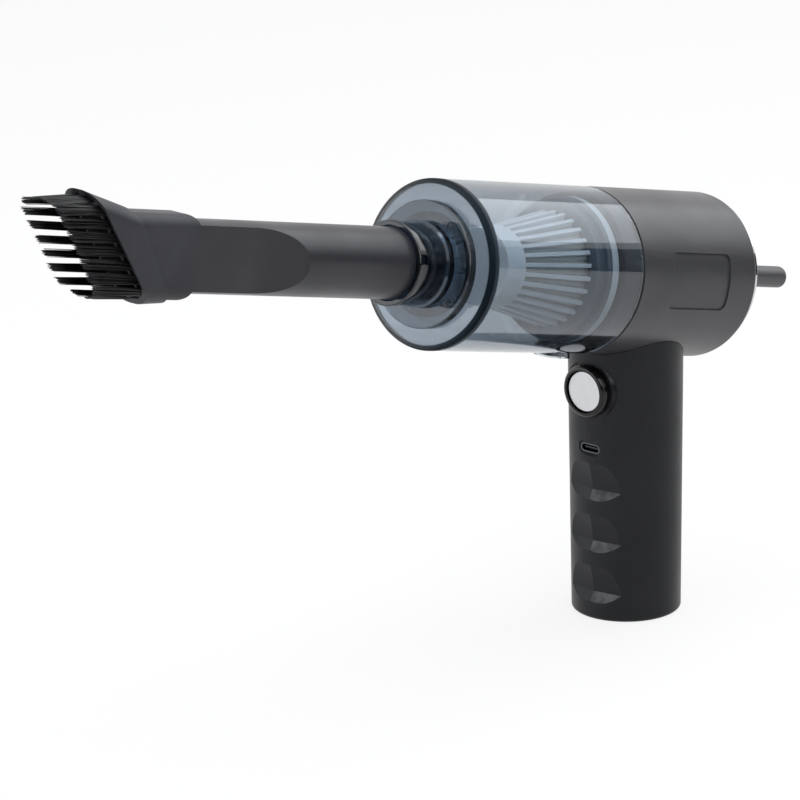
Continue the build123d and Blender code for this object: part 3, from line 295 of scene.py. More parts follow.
# ---------------------------------------------------------------- motor
# A brushed permanent-magnet motor: a deep-drawn, zinc-plated steel can with a glass-filled nylon end bell,
# two ferrite magnet shells glued inside it and a sintered bronze bush at each end. Two screws, their heads
# sunk into the mount, hold it there.
can_colour = "#b2b4b3"
can_dull_colour = "#8f9291"
bush_colour = "#b08d57"
bush_pore_colour = "#6b5334"
ferrite_colour = "#3d3a38"
ferrite_chalky_colour = "#514d4a"
nylon_colour = "#232324"
nylon_worn_colour = "#2e2e2f"
screw_colour = "#c3c5c6"
screw_dull_colour = "#9ea1a2"


def worked_metal(name, colour, dull_colour, roughness, stroke, mark_depth=0.01):
    """Metal with the fine marks of its working, which run so many mm along x, y and z."""
    material = empty_material(name)
    tree = material.node_tree
    place = add_node(tree, "ShaderNodeTexCoord")
    along = add_node(tree, "ShaderNodeMapping", {"Vector": place.outputs["Object"],
                                                 "Scale": [1 / (length * mm) for length in stroke]})
    marks = add_node(tree, "ShaderNodeTexNoise", {"Vector": along.outputs[0], "Scale": 1.0,
                                                  "Detail": 5.0, "Roughness": 0.6})
    bloom = add_node(tree, "ShaderNodeTexNoise", {"Vector": place.outputs["Object"],
                                                  "Scale": 1 / (9 * mm), "Detail": 3.0})
    dull = add_node(tree, "ShaderNodeMath", {0: marks.outputs[0], 1: bloom.outputs[0]},
                    operation="MULTIPLY")
    tone = add_node(tree, "ShaderNodeMapRange", {"Value": dull.outputs[0], "From Min": 0.15,
                                                 "From Max": 0.42})
    shade = colour_between(tree, tone.outputs[0], colour, dull_colour)
    rub = add_node(tree, "ShaderNodeMapRange", {"Value": tone.outputs[0], "To Min": roughness * 0.8,
                                                "To Max": roughness * 1.3})
    skin = add_node(tree, "ShaderNodeBump", {"Height": marks.outputs[0], "Strength": 0.3,
                                             "Distance": mark_depth * mm})
    shader = add_node(tree, "ShaderNodeBsdfPrincipled", {
        "Base Color": shade, "Metallic": 1.0, "Roughness": rub.outputs[0],
        "Normal": skin.outputs[0]})
    add_node(tree, "ShaderNodeOutputMaterial", {"Surface": shader.outputs[0]})
    return material


# drawing marks run along the can; zinc gives a cool grey with a dull bloom
drawn_steel = worked_metal("zinc_plated_drawn_steel", can_colour, can_dull_colour,
                           roughness=0.34, stroke=(8.0, 0.5, 0.5))
# pressed and sintered powder: a warm yellow-brown metal full of tiny dark pores
sintered_bronze = worked_metal("sintered_bronze", bush_colour, bush_pore_colour,
                               roughness=0.42, stroke=(0.3, 0.3, 0.3))
screw_steel = worked_metal("zinc_plated_screw_steel", screw_colour, screw_dull_colour,
                           roughness=0.28, stroke=(0.6, 0.6, 0.6))
# pressed ceramic: charcoal grey, dry and slightly chalky
ferrite = moulded_abs("pressed_ferrite", ferrite_colour, ferrite_chalky_colour,
                      roughness=0.72, gloss=0.3, grain=0.4, grain_depth=0.03)
# short glass fibres leave the nylon a little cloudy and rough
glass_filled_nylon = moulded_abs("glass_filled_nylon", nylon_colour, nylon_worn_colour,
                                 roughness=0.55, gloss=0.4, grain=0.5, grain_depth=0.04)

finish_node("motor_can", drawn_steel)
finish_node("motor_end_bell", glass_filled_nylon)
finish_node("front_bearing", sintered_bronze)
finish_node("rear_bearing", sintered_bronze)
finish_node("motor_magnets", ferrite)
finish_node("motor_screws", screw_steel)

# ---------------------------------------------------------------- rotor and impeller
# On the ground steel shaft sit a stack of stamped silicon-steel laminations, its enamelled copper winding
# heads, a copper commutator, and ahead of the mount a moulded impeller held by a nut.
core_colour = "#8a8d90"
core_gap_colour = "#3a3d40"
lamination = 0.5              # mm, thickness of one stamping
enamel_colour = "#9c4a20"
enamel_shade_colour = "#6a2c12"
wire_pitch = 0.45             # mm
copper_colour = "#c77a4c"
copper_dull_colour = "#8a4a2b"
shaft_colour = "#c9cbcd"
shaft_dull_colour = "#aeb1b4"


def banded_metal(name, colour, gap_colour, pitch, roughness, wander):
    """Metal in thin bands square to the barrel, such as a stack of stampings or the turns of a winding."""
    material = empty_material(name)
    tree = material.node_tree
    place = add_node(tree, "ShaderNodeTexCoord")
    ahead = add_node(tree, "ShaderNodeVectorMath", {0: place.outputs["Object"], 1: nose},
                     operation="DOT_PRODUCT")
    drift = add_node(tree, "ShaderNodeTexNoise", {"Vector": place.outputs["Object"],
                                                  "Scale": 1 / (4 * mm), "Detail": 2.0})
    shifted = add_node(tree, "ShaderNodeMath", {0: drift.outputs[0], 1: wander * pitch * mm,
                                                2: ahead.outputs["Value"]}, operation="MULTIPLY_ADD")
    band = add_node(tree, "ShaderNodeMath", {0: shifted.outputs[0], 1: pitch * mm}, operation="PINGPONG")
    edge = add_node(tree, "ShaderNodeMapRange", {"Value": band.outputs[0], "From Min": 0.1 * pitch * mm,
                                                 "From Max": 0.4 * pitch * mm})
    shade = colour_between(tree, edge.outputs[0], gap_colour, colour)
    skin = add_node(tree, "ShaderNodeBump", {"Height": edge.outputs[0], "Strength": 0.5,
                                             "Distance": 0.1 * pitch * mm})
    shader = add_node(tree, "ShaderNodeBsdfPrincipled", {
        "Base Color": shade, "Metallic": 1.0, "Roughness": roughness,
        "Normal": skin.outputs[0]})
    add_node(tree, "ShaderNodeOutputMaterial", {"Surface": shader.outputs[0]})
    return material


# each stamping's edge shows as a thin line round the stack
laminated_steel = banded_metal("laminated_silicon_steel", core_colour, core_gap_colour, lamination,
                               roughness=0.45, wander=0.0)
# polyurethane enamel over copper: deep orange-brown with a wet gloss, in slightly crossed turns
enamelled_wire = banded_metal("enamelled_copper_wire", enamel_colour, enamel_shade_colour, wire_pitch,
                              roughness=0.28, wander=3.0)
turned_copper = worked_metal("turned_copper", copper_colour, copper_dull_colour,
                             roughness=0.3, stroke=(0.3, 0.3, 0.3))
ground_steel = worked_metal("ground_steel", shaft_colour, shaft_dull_colour,
                            roughness=0.16, stroke=(0.2, 0.2, 0.2))

finish_node("rotor_shaft", ground_steel)
finish_node("rotor_core", laminated_steel)
finish_node("rotor_windings", enamelled_wire)
finish_node("commutator", turned_copper)
finish_node("impeller", glass_filled_nylon)
finish_node("impeller_nut", screw_steel)

# ---------------------------------------------------------------- what carries the motor and guides the air
# Black ABS mouldings inside the housing: the ribbed plate that the motor is screwed to, the shroud round
# the impeller's mouth, and the ring grille that keeps fingers out where the air comes in.
inner_colour = "#262628"
inner_worn_colour = "#303032"

inner_abs = moulded_abs("black_inner_abs", inner_colour, inner_worn_colour, roughness=0.45)
for node in ("motor_mount", "fan_shroud", "intake_grille"):
    finish_node(node, inner_abs)

# ---------------------------------------------------------------- back cover and blower tip
# The vented cover of black ABS snaps into the housing's back inside a ring of chrome-plated steel. The
# blower tip, a plain ABS tube, pushes into a moulded socket in the cover's middle and pulls out.
cover_colour = "#29292b"
cover_worn_colour = "#333335"
tip_colour = "#38383a"
tip_worn_colour = "#434345"
chrome_colour = "#dcdde0"
chrome_dull_colour = "#c4c6ca"

cover_abs = moulded_abs("black_moulded_abs", cover_colour, cover_worn_colour, roughness=0.48)
tip_abs = moulded_abs("grey_satin_abs", tip_colour, tip_worn_colour, roughness=0.42)
# chrome over polished steel: a bright cool mirror with hairline marks
plated_chrome = worked_metal("chrome_plated_steel", chrome_colour, chrome_dull_colour,
                             roughness=0.10, stroke=(2.0, 2.0, 2.0), mark_depth=0.002)

finish_node("rear_trim_ring", plated_chrome)
finish_node("rear_cover", cover_abs)
finish_node("outlet_socket", cover_abs)
finish_node("blower_tip", tip_abs)

# ---------------------------------------------------------------- seam seal
# A flat ring of black silicone rubber in the joint between the housing and the dust cup, stretched over the
# housing's spigot. Rubber scatters light evenly and keeps only a faint sheen.
seal_colour = "#1c1c1d"
seal_bloom_colour = "#2b2b2d"


def moulded_rubber(name, colour, bloom_colour, roughness):
    """Smooth moulded rubber with a thin greyish bloom."""
    material = empty_material(name)
    tree = material.node_tree
    place = add_node(tree, "ShaderNodeTexCoord")
    bloom = add_node(tree, "ShaderNodeTexNoise", {"Vector": place.outputs["Object"],
                                                  "Scale": 1 / (5 * mm), "Detail": 5.0})
    tone = add_node(tree, "ShaderNodeMapRange", {"Value": bloom.outputs[0], "From Min": 0.4,
                                                 "From Max": 0.7})
    shade = colour_between(tree, tone.outputs[0], colour, bloom_colour)
    skin = add_node(tree, "ShaderNodeBump", {"Height": bloom.outputs[0], "Strength": 0.2,
                                             "Distance": 0.03 * mm})
    shader = add_node(tree, "ShaderNodeBsdfPrincipled", {
        "Base Color": shade, "Roughness": roughness, "Normal": skin.outputs[0], "IOR": 1.5,
        "Specular IOR Level": 0.35})
    add_node(tree, "ShaderNodeOutputMaterial", {"Surface": shader.outputs[0]})
    return material


silicone_rubber = moulded_rubber("black_silicone_rubber", seal_colour, seal_bloom_colour, roughness=0.55)
finish_node("cup_seal_ring", silicone_rubber)

# ---------------------------------------------------------------- filter
# A cone of pleated filter paper, its folds glued inside a frame of natural polypropylene: a rim, a ring of
# ribs and a closed cap. A soft rubber seal under the rim presses on the housing's spigot.
frame_colour = "#c8ced2"
frame_cloud_colour = "#b7bec3"
# the slate-blue band is painted shade in the slot at the rim's step, not a colour of the frame
rim_step_shade_colour = "#394855"
rim_step_shade_place = (41.5, 47.2)   # mm ahead, from and to
paper_colour = "#e4e6e4"
paper_fibre_colour = "#cfd2d0"
pleat_count = 56
pleat_depth = 2.4             # mm
paper_thickness = 0.3         # mm
paper_fibre = (0.25, 0.25, 1.6)


def way_along_barrel(tree):
    """Nodes for a point's offset from the barrel's middle, and for its way ahead along the axis."""
    place = add_node(tree, "ShaderNodeTexCoord")
    offset = add_node(tree, "ShaderNodeVectorMath", {0: place.outputs["Object"], 1: barrel_middle},
                      operation="SUBTRACT")
    ahead = add_node(tree, "ShaderNodeVectorMath", {0: offset.outputs[0], 1: nose},
                     operation="DOT_PRODUCT")
    return offset, ahead


def shader_of(tree):
    """The one principled shader of a material's tree."""
    return next(node for node in tree.nodes if node.bl_idname == "ShaderNodeBsdfPrincipled")


def new_piece(name, mesh, material, body, smooth=True):
    """A finished object from a bmesh: its place is in its mesh, and it rides on a body."""
    data = bpy.data.meshes.new(name)
    mesh.to_mesh(data)
    mesh.free()
    if smooth:
        data.shade_smooth()
    piece = bpy.data.objects.new(name, data)
    bpy.context.scene.collection.objects.link(piece)
    piece.data.materials.append(material)
    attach(piece, body)
    return piece


def translucent_plastic(name, colour, cloud_colour, roughness, scatter):
    """Natural, milky plastic. Light goes a little way into it, so its shadows stay soft and pale."""
    material = empty_material(name)
    tree = material.node_tree
    place = add_node(tree, "ShaderNodeTexCoord")
    clouds = add_node(tree, "ShaderNodeTexNoise", {"Vector": place.outputs["Object"],
                                                   "Scale": 1 / (7 * mm), "Detail": 3.0})
    shade = colour_between(tree, clouds.outputs[0], colour, cloud_colour)
    skin = add_node(tree, "ShaderNodeBump", {"Height": clouds.outputs[0], "Strength": 0.15,
                                             "Distance": 0.1 * mm})
    shader = add_node(tree, "ShaderNodeBsdfPrincipled", {
        "Base Color": shade, "Roughness": roughness, "Normal": skin.outputs[0], "IOR": 1.49,
        "Subsurface Weight": scatter, "Subsurface Radius": (2 * mm, 2 * mm, 2 * mm),
        "Subsurface Scale": 1.0})
    add_node(tree, "ShaderNodeOutputMaterial", {"Surface": shader.outputs[0]})
    return material


natural_polypropylene = translucent_plastic("natural_polypropylene", frame_colour, frame_cloud_colour,
                                            roughness=0.32, scatter=0.3)
# Round the rim's step, where the flange and the ring of ribs leave a dark slot, a band of slate-blue is
# painted shade.
tree = natural_polypropylene.node_tree
ahead = way_along_barrel(tree)[1]
band_starts = add_node(tree, "ShaderNodeMath", {0: ahead.outputs["Value"], 1: rim_step_shade_place[0] * mm},
                       operation="GREATER_THAN")
band_ends = add_node(tree, "ShaderNodeMath", {0: ahead.outputs["Value"], 1: rim_step_shade_place[1] * mm},
                     operation="LESS_THAN")
in_step_shade = add_node(tree, "ShaderNodeMath", {0: band_starts.outputs[0], 1: band_ends.outputs[0]},
                   operation="MULTIPLY")
plastic_colour = shader_of(tree).inputs["Base Color"]
painted_step_shade = add_node(tree, "ShaderNodeMix", {0: in_step_shade.outputs[0], 6: plastic_colour.links[0].from_socket,
                                            7: linear(rim_step_shade_colour)}, data_type="RGBA")
tree.links.new(painted_step_shade.outputs[2], plastic_colour)
finish_node("filter_frame", natural_polypropylene)
finish_node("filter_seal", silicone_rubber)

# wet-laid fibres: a dry warm white with short felted strands
filter_paper = empty_material("pleated_filter_paper")
tree = filter_paper.node_tree
place = add_node(tree, "ShaderNodeTexCoord")
laid = add_node(tree, "ShaderNodeMapping", {"Vector": place.outputs["Object"],
                                            "Scale": [1 / (length * mm) for length in paper_fibre]})
fibres = add_node(tree, "ShaderNodeTexNoise", {"Vector": laid.outputs[0], "Scale": 1.0, "Detail": 6.0,
                                               "Roughness": 0.65})
shade = colour_between(tree, fibres.outputs[0], paper_colour, paper_fibre_colour)
skin = add_node(tree, "ShaderNodeBump", {"Height": fibres.outputs[0], "Strength": 0.6,
                                         "Distance": 0.08 * mm})
shader = add_node(tree, "ShaderNodeBsdfPrincipled", {
    "Base Color": shade, "Roughness": 0.9, "Normal": skin.outputs[0],
    "Specular IOR Level": 0.2})
add_node(tree, "ShaderNodeOutputMaterial", {"Surface": shader.outputs[0]})

# the folded sheet: a ring of folds at the rim, drawn out forward into the narrower ring under the cap
pleat_rings = (
    # mm ahead along the barrel, outer radius
    (38.5, 19.2),
    (46.9, 19.2),
    (77.5, 12.8),
)
pleats = bmesh.new()
folds_start, fold_radius = pleat_rings[0]
fold_ring = bmesh.ops.create_circle(pleats, segments=2 * pleat_count, radius=fold_radius * mm)
for valley in fold_ring["verts"][::2]:
    valley.co *= 1 - pleat_depth / fold_radius
ring_edges = pleats.edges[:]
for (back, back_radius), (front, front_radius) in zip(pleat_rings, pleat_rings[1:]):
    drawn = bmesh.ops.extrude_edge_only(pleats, edges=ring_edges)["geom"]
    ring_edges = [piece for piece in drawn if isinstance(piece, bmesh.types.BMEdge)]
    ring_verts = [piece for piece in drawn if isinstance(piece, bmesh.types.BMVert)]
    bmesh.ops.translate(pleats, verts=ring_verts, vec=(0, 0, (front - back) * mm))
    narrowing = front_radius / back_radius
    bmesh.ops.scale(pleats, verts=ring_verts, vec=(narrowing, narrowing, 1))
bmesh.ops.recalc_face_normals(pleats, faces=pleats.faces)
bmesh.ops.solidify(pleats, geom=pleats.faces[:], thickness=paper_thickness * mm)
barrel_turn = Matrix((barrel_up, (0, 1, 0), nose)).transposed().to_4x4()
bmesh.ops.transform(pleats, verts=pleats.verts,
                    matrix=Matrix.Translation(barrel_place(0, 0, folds_start)) @ barrel_turn)
paper_cone = new_piece("pleated_paper", pleats, filter_paper, "filter", smooth=False)
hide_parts("filter_pleats")

# ---------------------------------------------------------------- dust cup
# The cup and its release button are moulded from smoke-blue clear SAN, a hard styrene plastic. The inlet
# collar is of the same plastic, pressed into the cup's front; where it stands out, its skin is painted navy
# shade, for the dark nozzle seen through it. A small steel spring holds the release button out.
smoke_colour = "#88a0b2"
# the navy of the cup's front edge is painted shade
rim_shade_colour = "#2c3b46"
rim_band = 3.6                # mm back from the front face
rim_ahead = 112.7             # mm, place of the front face
rim_inside = 29.2             # mm from the axis
rim_fade = 0.3                # mm
smoke_density = 520.0         # per metre: a wall of 1.6 mm takes two fifths of the light
collar_density = 200.0        # the collar's navy is painted on its skin as shade, so its volume tint stays light
collar_shade_colour = "#768da1"


def smoked_clear(name, roughness, density):
    """Clear plastic, tinted right through. Its gloss is sharp, with a faint mould haze in it."""
    material = empty_material(name)
    tree = material.node_tree
    place = add_node(tree, "ShaderNodeTexCoord")
    haze = add_node(tree, "ShaderNodeTexNoise", {"Vector": place.outputs["Object"],
                                                 "Scale": 1 / (14 * mm), "Detail": 4.0})
    dim = add_node(tree, "ShaderNodeMapRange", {"Value": haze.outputs[0], "From Min": 0.4,
                                                "From Max": 0.75, "To Min": roughness,
                                                "To Max": roughness + 0.05})
    shader = add_node(tree, "ShaderNodeBsdfPrincipled", {
        "Base Color": linear("#ffffff"), "Transmission Weight": 1.0, "Roughness": dim.outputs[0],
        "IOR": 1.57})
    tint = add_node(tree, "ShaderNodeVolumeAbsorption", {"Color": linear(smoke_colour),
                                                         "Density": density})
    add_node(tree, "ShaderNodeOutputMaterial", {"Surface": shader.outputs[0], "Volume": tint.outputs[0]})
    return material


smoked_san = smoked_clear("smoked_clear_san", roughness=0.015, density=smoke_density)
finish_node("release_button", smoked_san)

# The cup's own: round its front edge, where light runs far inside the thick plastic and the edge looks
# dark, a navy band is painted shade.
cup_san = smoked_clear("edge_dark_clear_san", roughness=0.015, density=smoke_density)
tree = cup_san.node_tree
from_axis, ahead = way_along_barrel(tree)
on_axis = add_node(tree, "ShaderNodeVectorMath", {0: nose, "Scale": ahead.outputs["Value"]},
                   operation="SCALE")
off_axis = add_node(tree, "ShaderNodeVectorMath", {0: from_axis.outputs[0], 1: on_axis.outputs[0]},
                    operation="DISTANCE")
at_front = add_node(tree, "ShaderNodeMapRange", {"Value": ahead.outputs["Value"],
                                                 "From Min": (rim_ahead - rim_band - rim_fade) * mm,
                                                 "From Max": (rim_ahead - rim_band) * mm})
at_edge = add_node(tree, "ShaderNodeMapRange", {"Value": off_axis.outputs["Value"],
                                                "From Min": (rim_inside - rim_fade) * mm,
                                                "From Max": rim_inside * mm})
in_rim = add_node(tree, "ShaderNodeMath", {0: at_front.outputs[0], 1: at_edge.outputs[0]},
                  operation="MULTIPLY")
painted_rim_shade = colour_between(tree, in_rim.outputs[0], "#ffffff", rim_shade_colour)
matt_rim = add_node(tree, "ShaderNodeMapRange", {"Value": in_rim.outputs[0], "To Min": 0.02,
                                                 "To Max": 0.5})
skin_of_cup = shader_of(tree).inputs
tree.links.new(painted_rim_shade, skin_of_cup["Base Color"])
tree.links.new(matt_rim.outputs[0], skin_of_cup["Roughness"])
# the painted shade also darkens the front edge's reflection
tree.links.new(painted_rim_shade, skin_of_cup["Specular Tint"])
cup = finish_node("cup_shell", cup_san)
cup.visible_shadow = False    # light falls through clear plastic onto the filter

# The navy is painted shade, only where the collar stands out of the cup over the dark nozzle. Its flange
# behind the cup's front stays pale.
collar_san = smoked_clear("dark_smoked_san", roughness=0.04, density=collar_density)
tree = collar_san.node_tree
stands_out = add_node(tree, "ShaderNodeMath", {0: way_along_barrel(tree)[1].outputs["Value"],
                                               1: rim_ahead * mm}, operation="GREATER_THAN")
painted_collar_shade = colour_between(tree, stands_out.outputs[0], "#ffffff", collar_shade_colour)
tree.links.new(painted_collar_shade, shader_of(tree).inputs["Base Color"])
finish_node("inlet_collar", collar_san)

# hard-drawn wire: bright, with drawing lines along it
wire_colour = "#c6c8ca"
wire_dull_colour = "#a3a6a9"
weld_distance = 0.001 * mm
music_wire = worked_metal("hard_drawn_spring_wire", wire_colour, wire_dull_colour,
                          roughness=0.22, stroke=(0.4, 0.4, 0.4))


def pressed_spring(node, body):
    """The coil spring under a button, welded into one mesh of its own and carried on the button's body."""
    coil = bmesh.new()
    coil.from_mesh(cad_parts[node].data)
    bmesh.ops.transform(coil, verts=coil.verts, matrix=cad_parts[node].matrix_world)
    bmesh.ops.remove_doubles(coil, verts=coil.verts, dist=weld_distance)
    spring = new_piece(node + "_coil", coil, music_wire, body)
    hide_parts(node)
    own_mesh(spring)


pressed_spring("release_spring", "dust_cup")

# ---------------------------------------------------------------- crevice nozzle
# A push-fit tube of charcoal ABS whose sides are scooped away to a flat, narrow end. It is moulded with a
# lightly blasted skin, a shade bluer and glossier than the housing.
nozzle_colour = "#29292d"
nozzle_worn_colour = "#313135"

nozzle_abs = moulded_abs("charcoal_satin_abs", nozzle_colour, nozzle_worn_colour,
                         roughness=0.34, gloss=0.28, grain=0.8, grain_depth=0.04)
finish_node("crevice_nozzle", nozzle_abs)

# ---------------------------------------------------------------- brush head
# A flared ABS sleeve that pushes over the nozzle's flat end. Tufts of black nylon are stapled into the rim
# of its slanted mouth, all the way round. The filaments are cut by one blade, and their ends splay and fray
# to grey.
brush_colour = "#343438"
brush_worn_colour = "#3d3d41"
filament_colour = "#070708"
frayed_colour = "#55565a"
frayed_from = 13.5            # mm square out from the mouth, where the grey begins
frayed_fully = 18.5
tuft_count = 18               # round the whole rim
filaments_in_tuft = 90
rim_straight = 32.5           # mm, length of the bristle line's straight sides
rim_radius = 7.4              # mm, from the middle plane to the line, and of its round ends
root_depth = 3.0              # mm inside the channel
root_width = 3.9              # mm, across a tuft
filament_radius = 0.17        # mm, drawn a little thicker than the real 0.1
near_reach = 22.2             # mm ahead of the mouth
far_reach = 25.2
end_reach = 21.6
low_reach = 2.0               # mm more at the rim's lower end
top_droop = 3.2               # mm, by which the topmost tips hang back
near_spread = 5.0             # mm, across a tuft at its tips
far_spread = 2.9
tuft_half_depth = 0.8         # mm, square to the rim
tuft_sway = 0.3               # mm, at the most
fray_along = 0.25             # mm, of single tips
fray_aside = 0.2
uneven_cut = 0.05             # share of the reach
tip_taper = 0.45              # radius of a filament's tip, as a share of its root's
mouth_lean = radians(42.0)
mouth_place = 276.5           # mm ahead
mouth_shift = 2.9             # mm along the slanted mouth

brush_abs = moulded_abs("charcoal_brush_abs", brush_colour, brush_worn_colour,
                        roughness=0.45, gloss=0.15, grain=0.7, grain_depth=0.05)
finish_node("brush_sleeve", brush_abs)

nylon_filament = empty_material("black_nylon_filament")
tree = nylon_filament.node_tree
place = add_node(tree, "ShaderNodeTexCoord")
mouth_normal = (-cos(mouth_lean - barrel_tilt), 0.0, -sin(mouth_lean - barrel_tilt))
beyond = add_node(tree, "ShaderNodeVectorMath", {0: place.outputs["Object"], 1: mouth_normal},
                  operation="DOT_PRODUCT")
mouth_level = barrel_place(0, 0, mouth_place).dot(Vector(mouth_normal))
frayed = add_node(tree, "ShaderNodeMapRange", {"Value": beyond.outputs["Value"],
                                               "From Min": mouth_level + frayed_from * mm,
                                               "From Max": mouth_level + frayed_fully * mm})
strands = add_node(tree, "ShaderNodeTexNoise", {"Vector": place.outputs["Object"],
                                                "Scale": 1 / (0.5 * mm), "Detail": 1.0})
frayed_here = add_node(tree, "ShaderNodeMath", {0: frayed.outputs[0], 1: strands.outputs[0]},
                       operation="MULTIPLY")
shade = colour_between(tree, frayed_here.outputs[0], filament_colour, frayed_colour)
shader = add_node(tree, "ShaderNodeBsdfPrincipled", {"Base Color": shade, "Roughness": 0.45,
                                                     "IOR": 1.53, "Specular IOR Level": 0.3})
add_node(tree, "ShaderNodeOutputMaterial", {"Surface": shader.outputs[0]})


def rim_point(walk):
    """Place on the bristle line, so many mm round the rim: along the slanted mouth, and to the side."""
    half_turn = rim_straight + pi * rim_radius
    way = 1 if walk % (2 * half_turn) < half_turn else -1
    walk = walk % half_turn
    if walk < rim_straight:
        return way * (walk - rim_straight / 2), -way * rim_radius
    bend = (walk - rim_straight) / rim_radius
    return way * (rim_straight / 2 + rim_radius * sin(bend)), -way * rim_radius * cos(bend)


chance = random.Random(7)
tuft_pitch = 2 * (rim_straight + pi * rim_radius) / tuft_count
rows = {"bristles_left": bmesh.new(), "bristles_right": bmesh.new()}
for tuft in range(tuft_count):
    middle = (tuft + 0.5) * tuft_pitch
    along, side = rim_point(middle)
    end_share = min(1.0, max(0.0, (abs(along) - rim_straight / 2) / rim_radius))
    flank_reach = near_reach if side < 0 else far_reach
    reach = flank_reach + (end_reach - flank_reach) * end_share - low_reach * min(0.0, along) / rim_straight
    tip_width = near_spread if side < 0 else far_spread
    row = rows["bristles_left" if side < 0 else "bristles_right"]
    sway = chance.uniform(-tuft_sway, tuft_sway)
    for strand in range(filaments_in_tuft):
        place_in_tuft = chance.uniform(-0.5, 0.5)
        deep = chance.uniform(-tuft_half_depth, tuft_half_depth)
        root_along, root_side = rim_point(middle + place_in_tuft * root_width)
        tip_along, tip_side = rim_point(middle + place_in_tuft * tip_width + sway)
        inward = 1 + deep / rim_radius
        frayed_out = chance.gauss(0, fray_along)
        tip_reach = reach * (1 - abs(chance.gauss(0, uneven_cut)))
        root_along += mouth_shift
        tip_along += mouth_shift + frayed_out - (top_droop * end_share if along > 0 else 0.0)
        root = barrel_place(root_along * cos(mouth_lean), root_side * inward,
                            mouth_place + root_along * sin(mouth_lean) - root_depth)
        tip = barrel_place(tip_along * cos(mouth_lean), tip_side * inward + chance.gauss(0, fray_aside),
                           mouth_place + tip_along * sin(mouth_lean) + tip_reach)
        run = tip - root
        stand = Matrix.Translation((root + tip) / 2) @ run.to_track_quat("Z", "Y").to_matrix().to_4x4()
        bmesh.ops.create_cone(row, cap_ends=True, segments=4, radius1=filament_radius * mm,
                              radius2=filament_radius * tip_taper * mm, depth=run.length,
                              matrix=stand)
for node, row in rows.items():
    tufts = new_piece(node.replace("bristles", "nylon_tufts"), row, nylon_filament, "brush", smooth=False)
    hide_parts(node)

# ---------------------------------------------------------------- handle
# A tapered ABS tube with three finger scoops, coated with a thin soft-touch lacquer, which makes it nearly
# black, with a low silky sheen. A cap of the same finish snaps into its bottom.
handle_colour = "#151619"
handle_worn_colour = "#1a1b1f"
# a painted highlight on the finger scoops' up-facing ledges
handle_painted_highlight_colour = "#606163"

handle_coat = moulded_abs("soft_touch_lacquer", handle_colour, handle_worn_colour,
                          roughness=0.40, gloss=0.2, grain=1.2, grain_depth=0.03,
                          painted_highlight_colour=handle_painted_highlight_colour)
finish_node("handle_shell", handle_coat)
finish_node("handle_end_cap", handle_coat)

# ---------------------------------------------------------------- cells, contacts and holder
# Two round lithium cells in plain blue shrink sleeve stand side by side under a moulded plate, joined by
# spot-welded strips of nickel-plated steel.
sleeve_colour = "#3f6fa6"
sleeve_stretch_colour = "#56829f"
strip_colour = "#cfd0cb"
strip_dull_colour = "#b3b4ae"

# shrunk PVC film: a smooth blue skin, paler where it is stretched
shrink_sleeve = empty_material("shrunk_pvc_sleeve")
tree = shrink_sleeve.node_tree
place = add_node(tree, "ShaderNodeTexCoord")
stretch = add_node(tree, "ShaderNodeTexNoise", {"Vector": place.outputs["Object"], "Scale": 1 / (11 * mm),
                                                "Detail": 3.0})
shade = colour_between(tree, stretch.outputs[0], sleeve_colour, sleeve_stretch_colour)
skin = add_node(tree, "ShaderNodeBump", {"Height": stretch.outputs[0], "Strength": 0.3,
                                         "Distance": 0.1 * mm})
shader = add_node(tree, "ShaderNodeBsdfPrincipled", {"Base Color": shade, "Roughness": 0.25,
                                                     "IOR": 1.54, "Normal": skin.outputs[0]})
add_node(tree, "ShaderNodeOutputMaterial", {"Surface": shader.outputs[0]})
rolled_nickel_strip = worked_metal("nickel_plated_strip", strip_colour, strip_dull_colour,
                                   roughness=0.24, stroke=(6.0, 0.4, 6.0))

finish_node("battery_cells", shrink_sleeve)
finish_node("battery_contacts", rolled_nickel_strip)
finish_node("battery_holder", inner_abs)

# ---------------------------------------------------------------- circuit board and leads
# A glass-epoxy board under green solder mask carries the switch and the charging inlet. Two soft PVC leads,
# one black and one red, run from its top up to the motor.
mask_colour = "#14532f"
trace_colour = "#1f6f41"
trace_pitch = 2.2             # mm
black_lead_colour = "#18181a"
black_lead_sheen_colour = "#242427"
red_lead_colour = "#a3131a"
red_lead_sheen_colour = "#b5262b"

# the copper lines under the mask show as paler green, in square-cornered paths
solder_mask = empty_material("green_solder_mask")
tree = solder_mask.node_tree
place = add_node(tree, "ShaderNodeTexCoord")
paths = add_node(tree, "ShaderNodeTexVoronoi", {"Vector": place.outputs["Object"],
                                                "Scale": 1 / (trace_pitch * mm)},
                 feature="F1", distance="CHEBYCHEV")
line = add_node(tree, "ShaderNodeMath", {0: paths.outputs["Distance"], 1: 0.2}, operation="PINGPONG")
copper_here = add_node(tree, "ShaderNodeMapRange", {"Value": line.outputs[0], "From Min": 0.08,
                                                    "From Max": 0.12})
shade = colour_between(tree, copper_here.outputs[0], mask_colour, trace_colour)
skin = add_node(tree, "ShaderNodeBump", {"Height": copper_here.outputs[0], "Strength": 0.4,
                                         "Distance": 0.035 * mm})
shader = add_node(tree, "ShaderNodeBsdfPrincipled", {"Base Color": shade, "Roughness": 0.28,
                                                     "IOR": 1.55, "Normal": skin.outputs[0]})
add_node(tree, "ShaderNodeOutputMaterial", {"Surface": shader.outputs[0]})

finish_node("circuit_board", solder_mask)
finish_node("tact_switch", glass_filled_nylon)
finish_node("motor_lead_black", moulded_rubber("black_pvc_insulation", black_lead_colour,
                                               black_lead_sheen_colour, roughness=0.35))
finish_node("motor_lead_red", moulded_rubber("red_pvc_insulation", red_lead_colour,
                                             red_lead_sheen_colour, roughness=0.35))

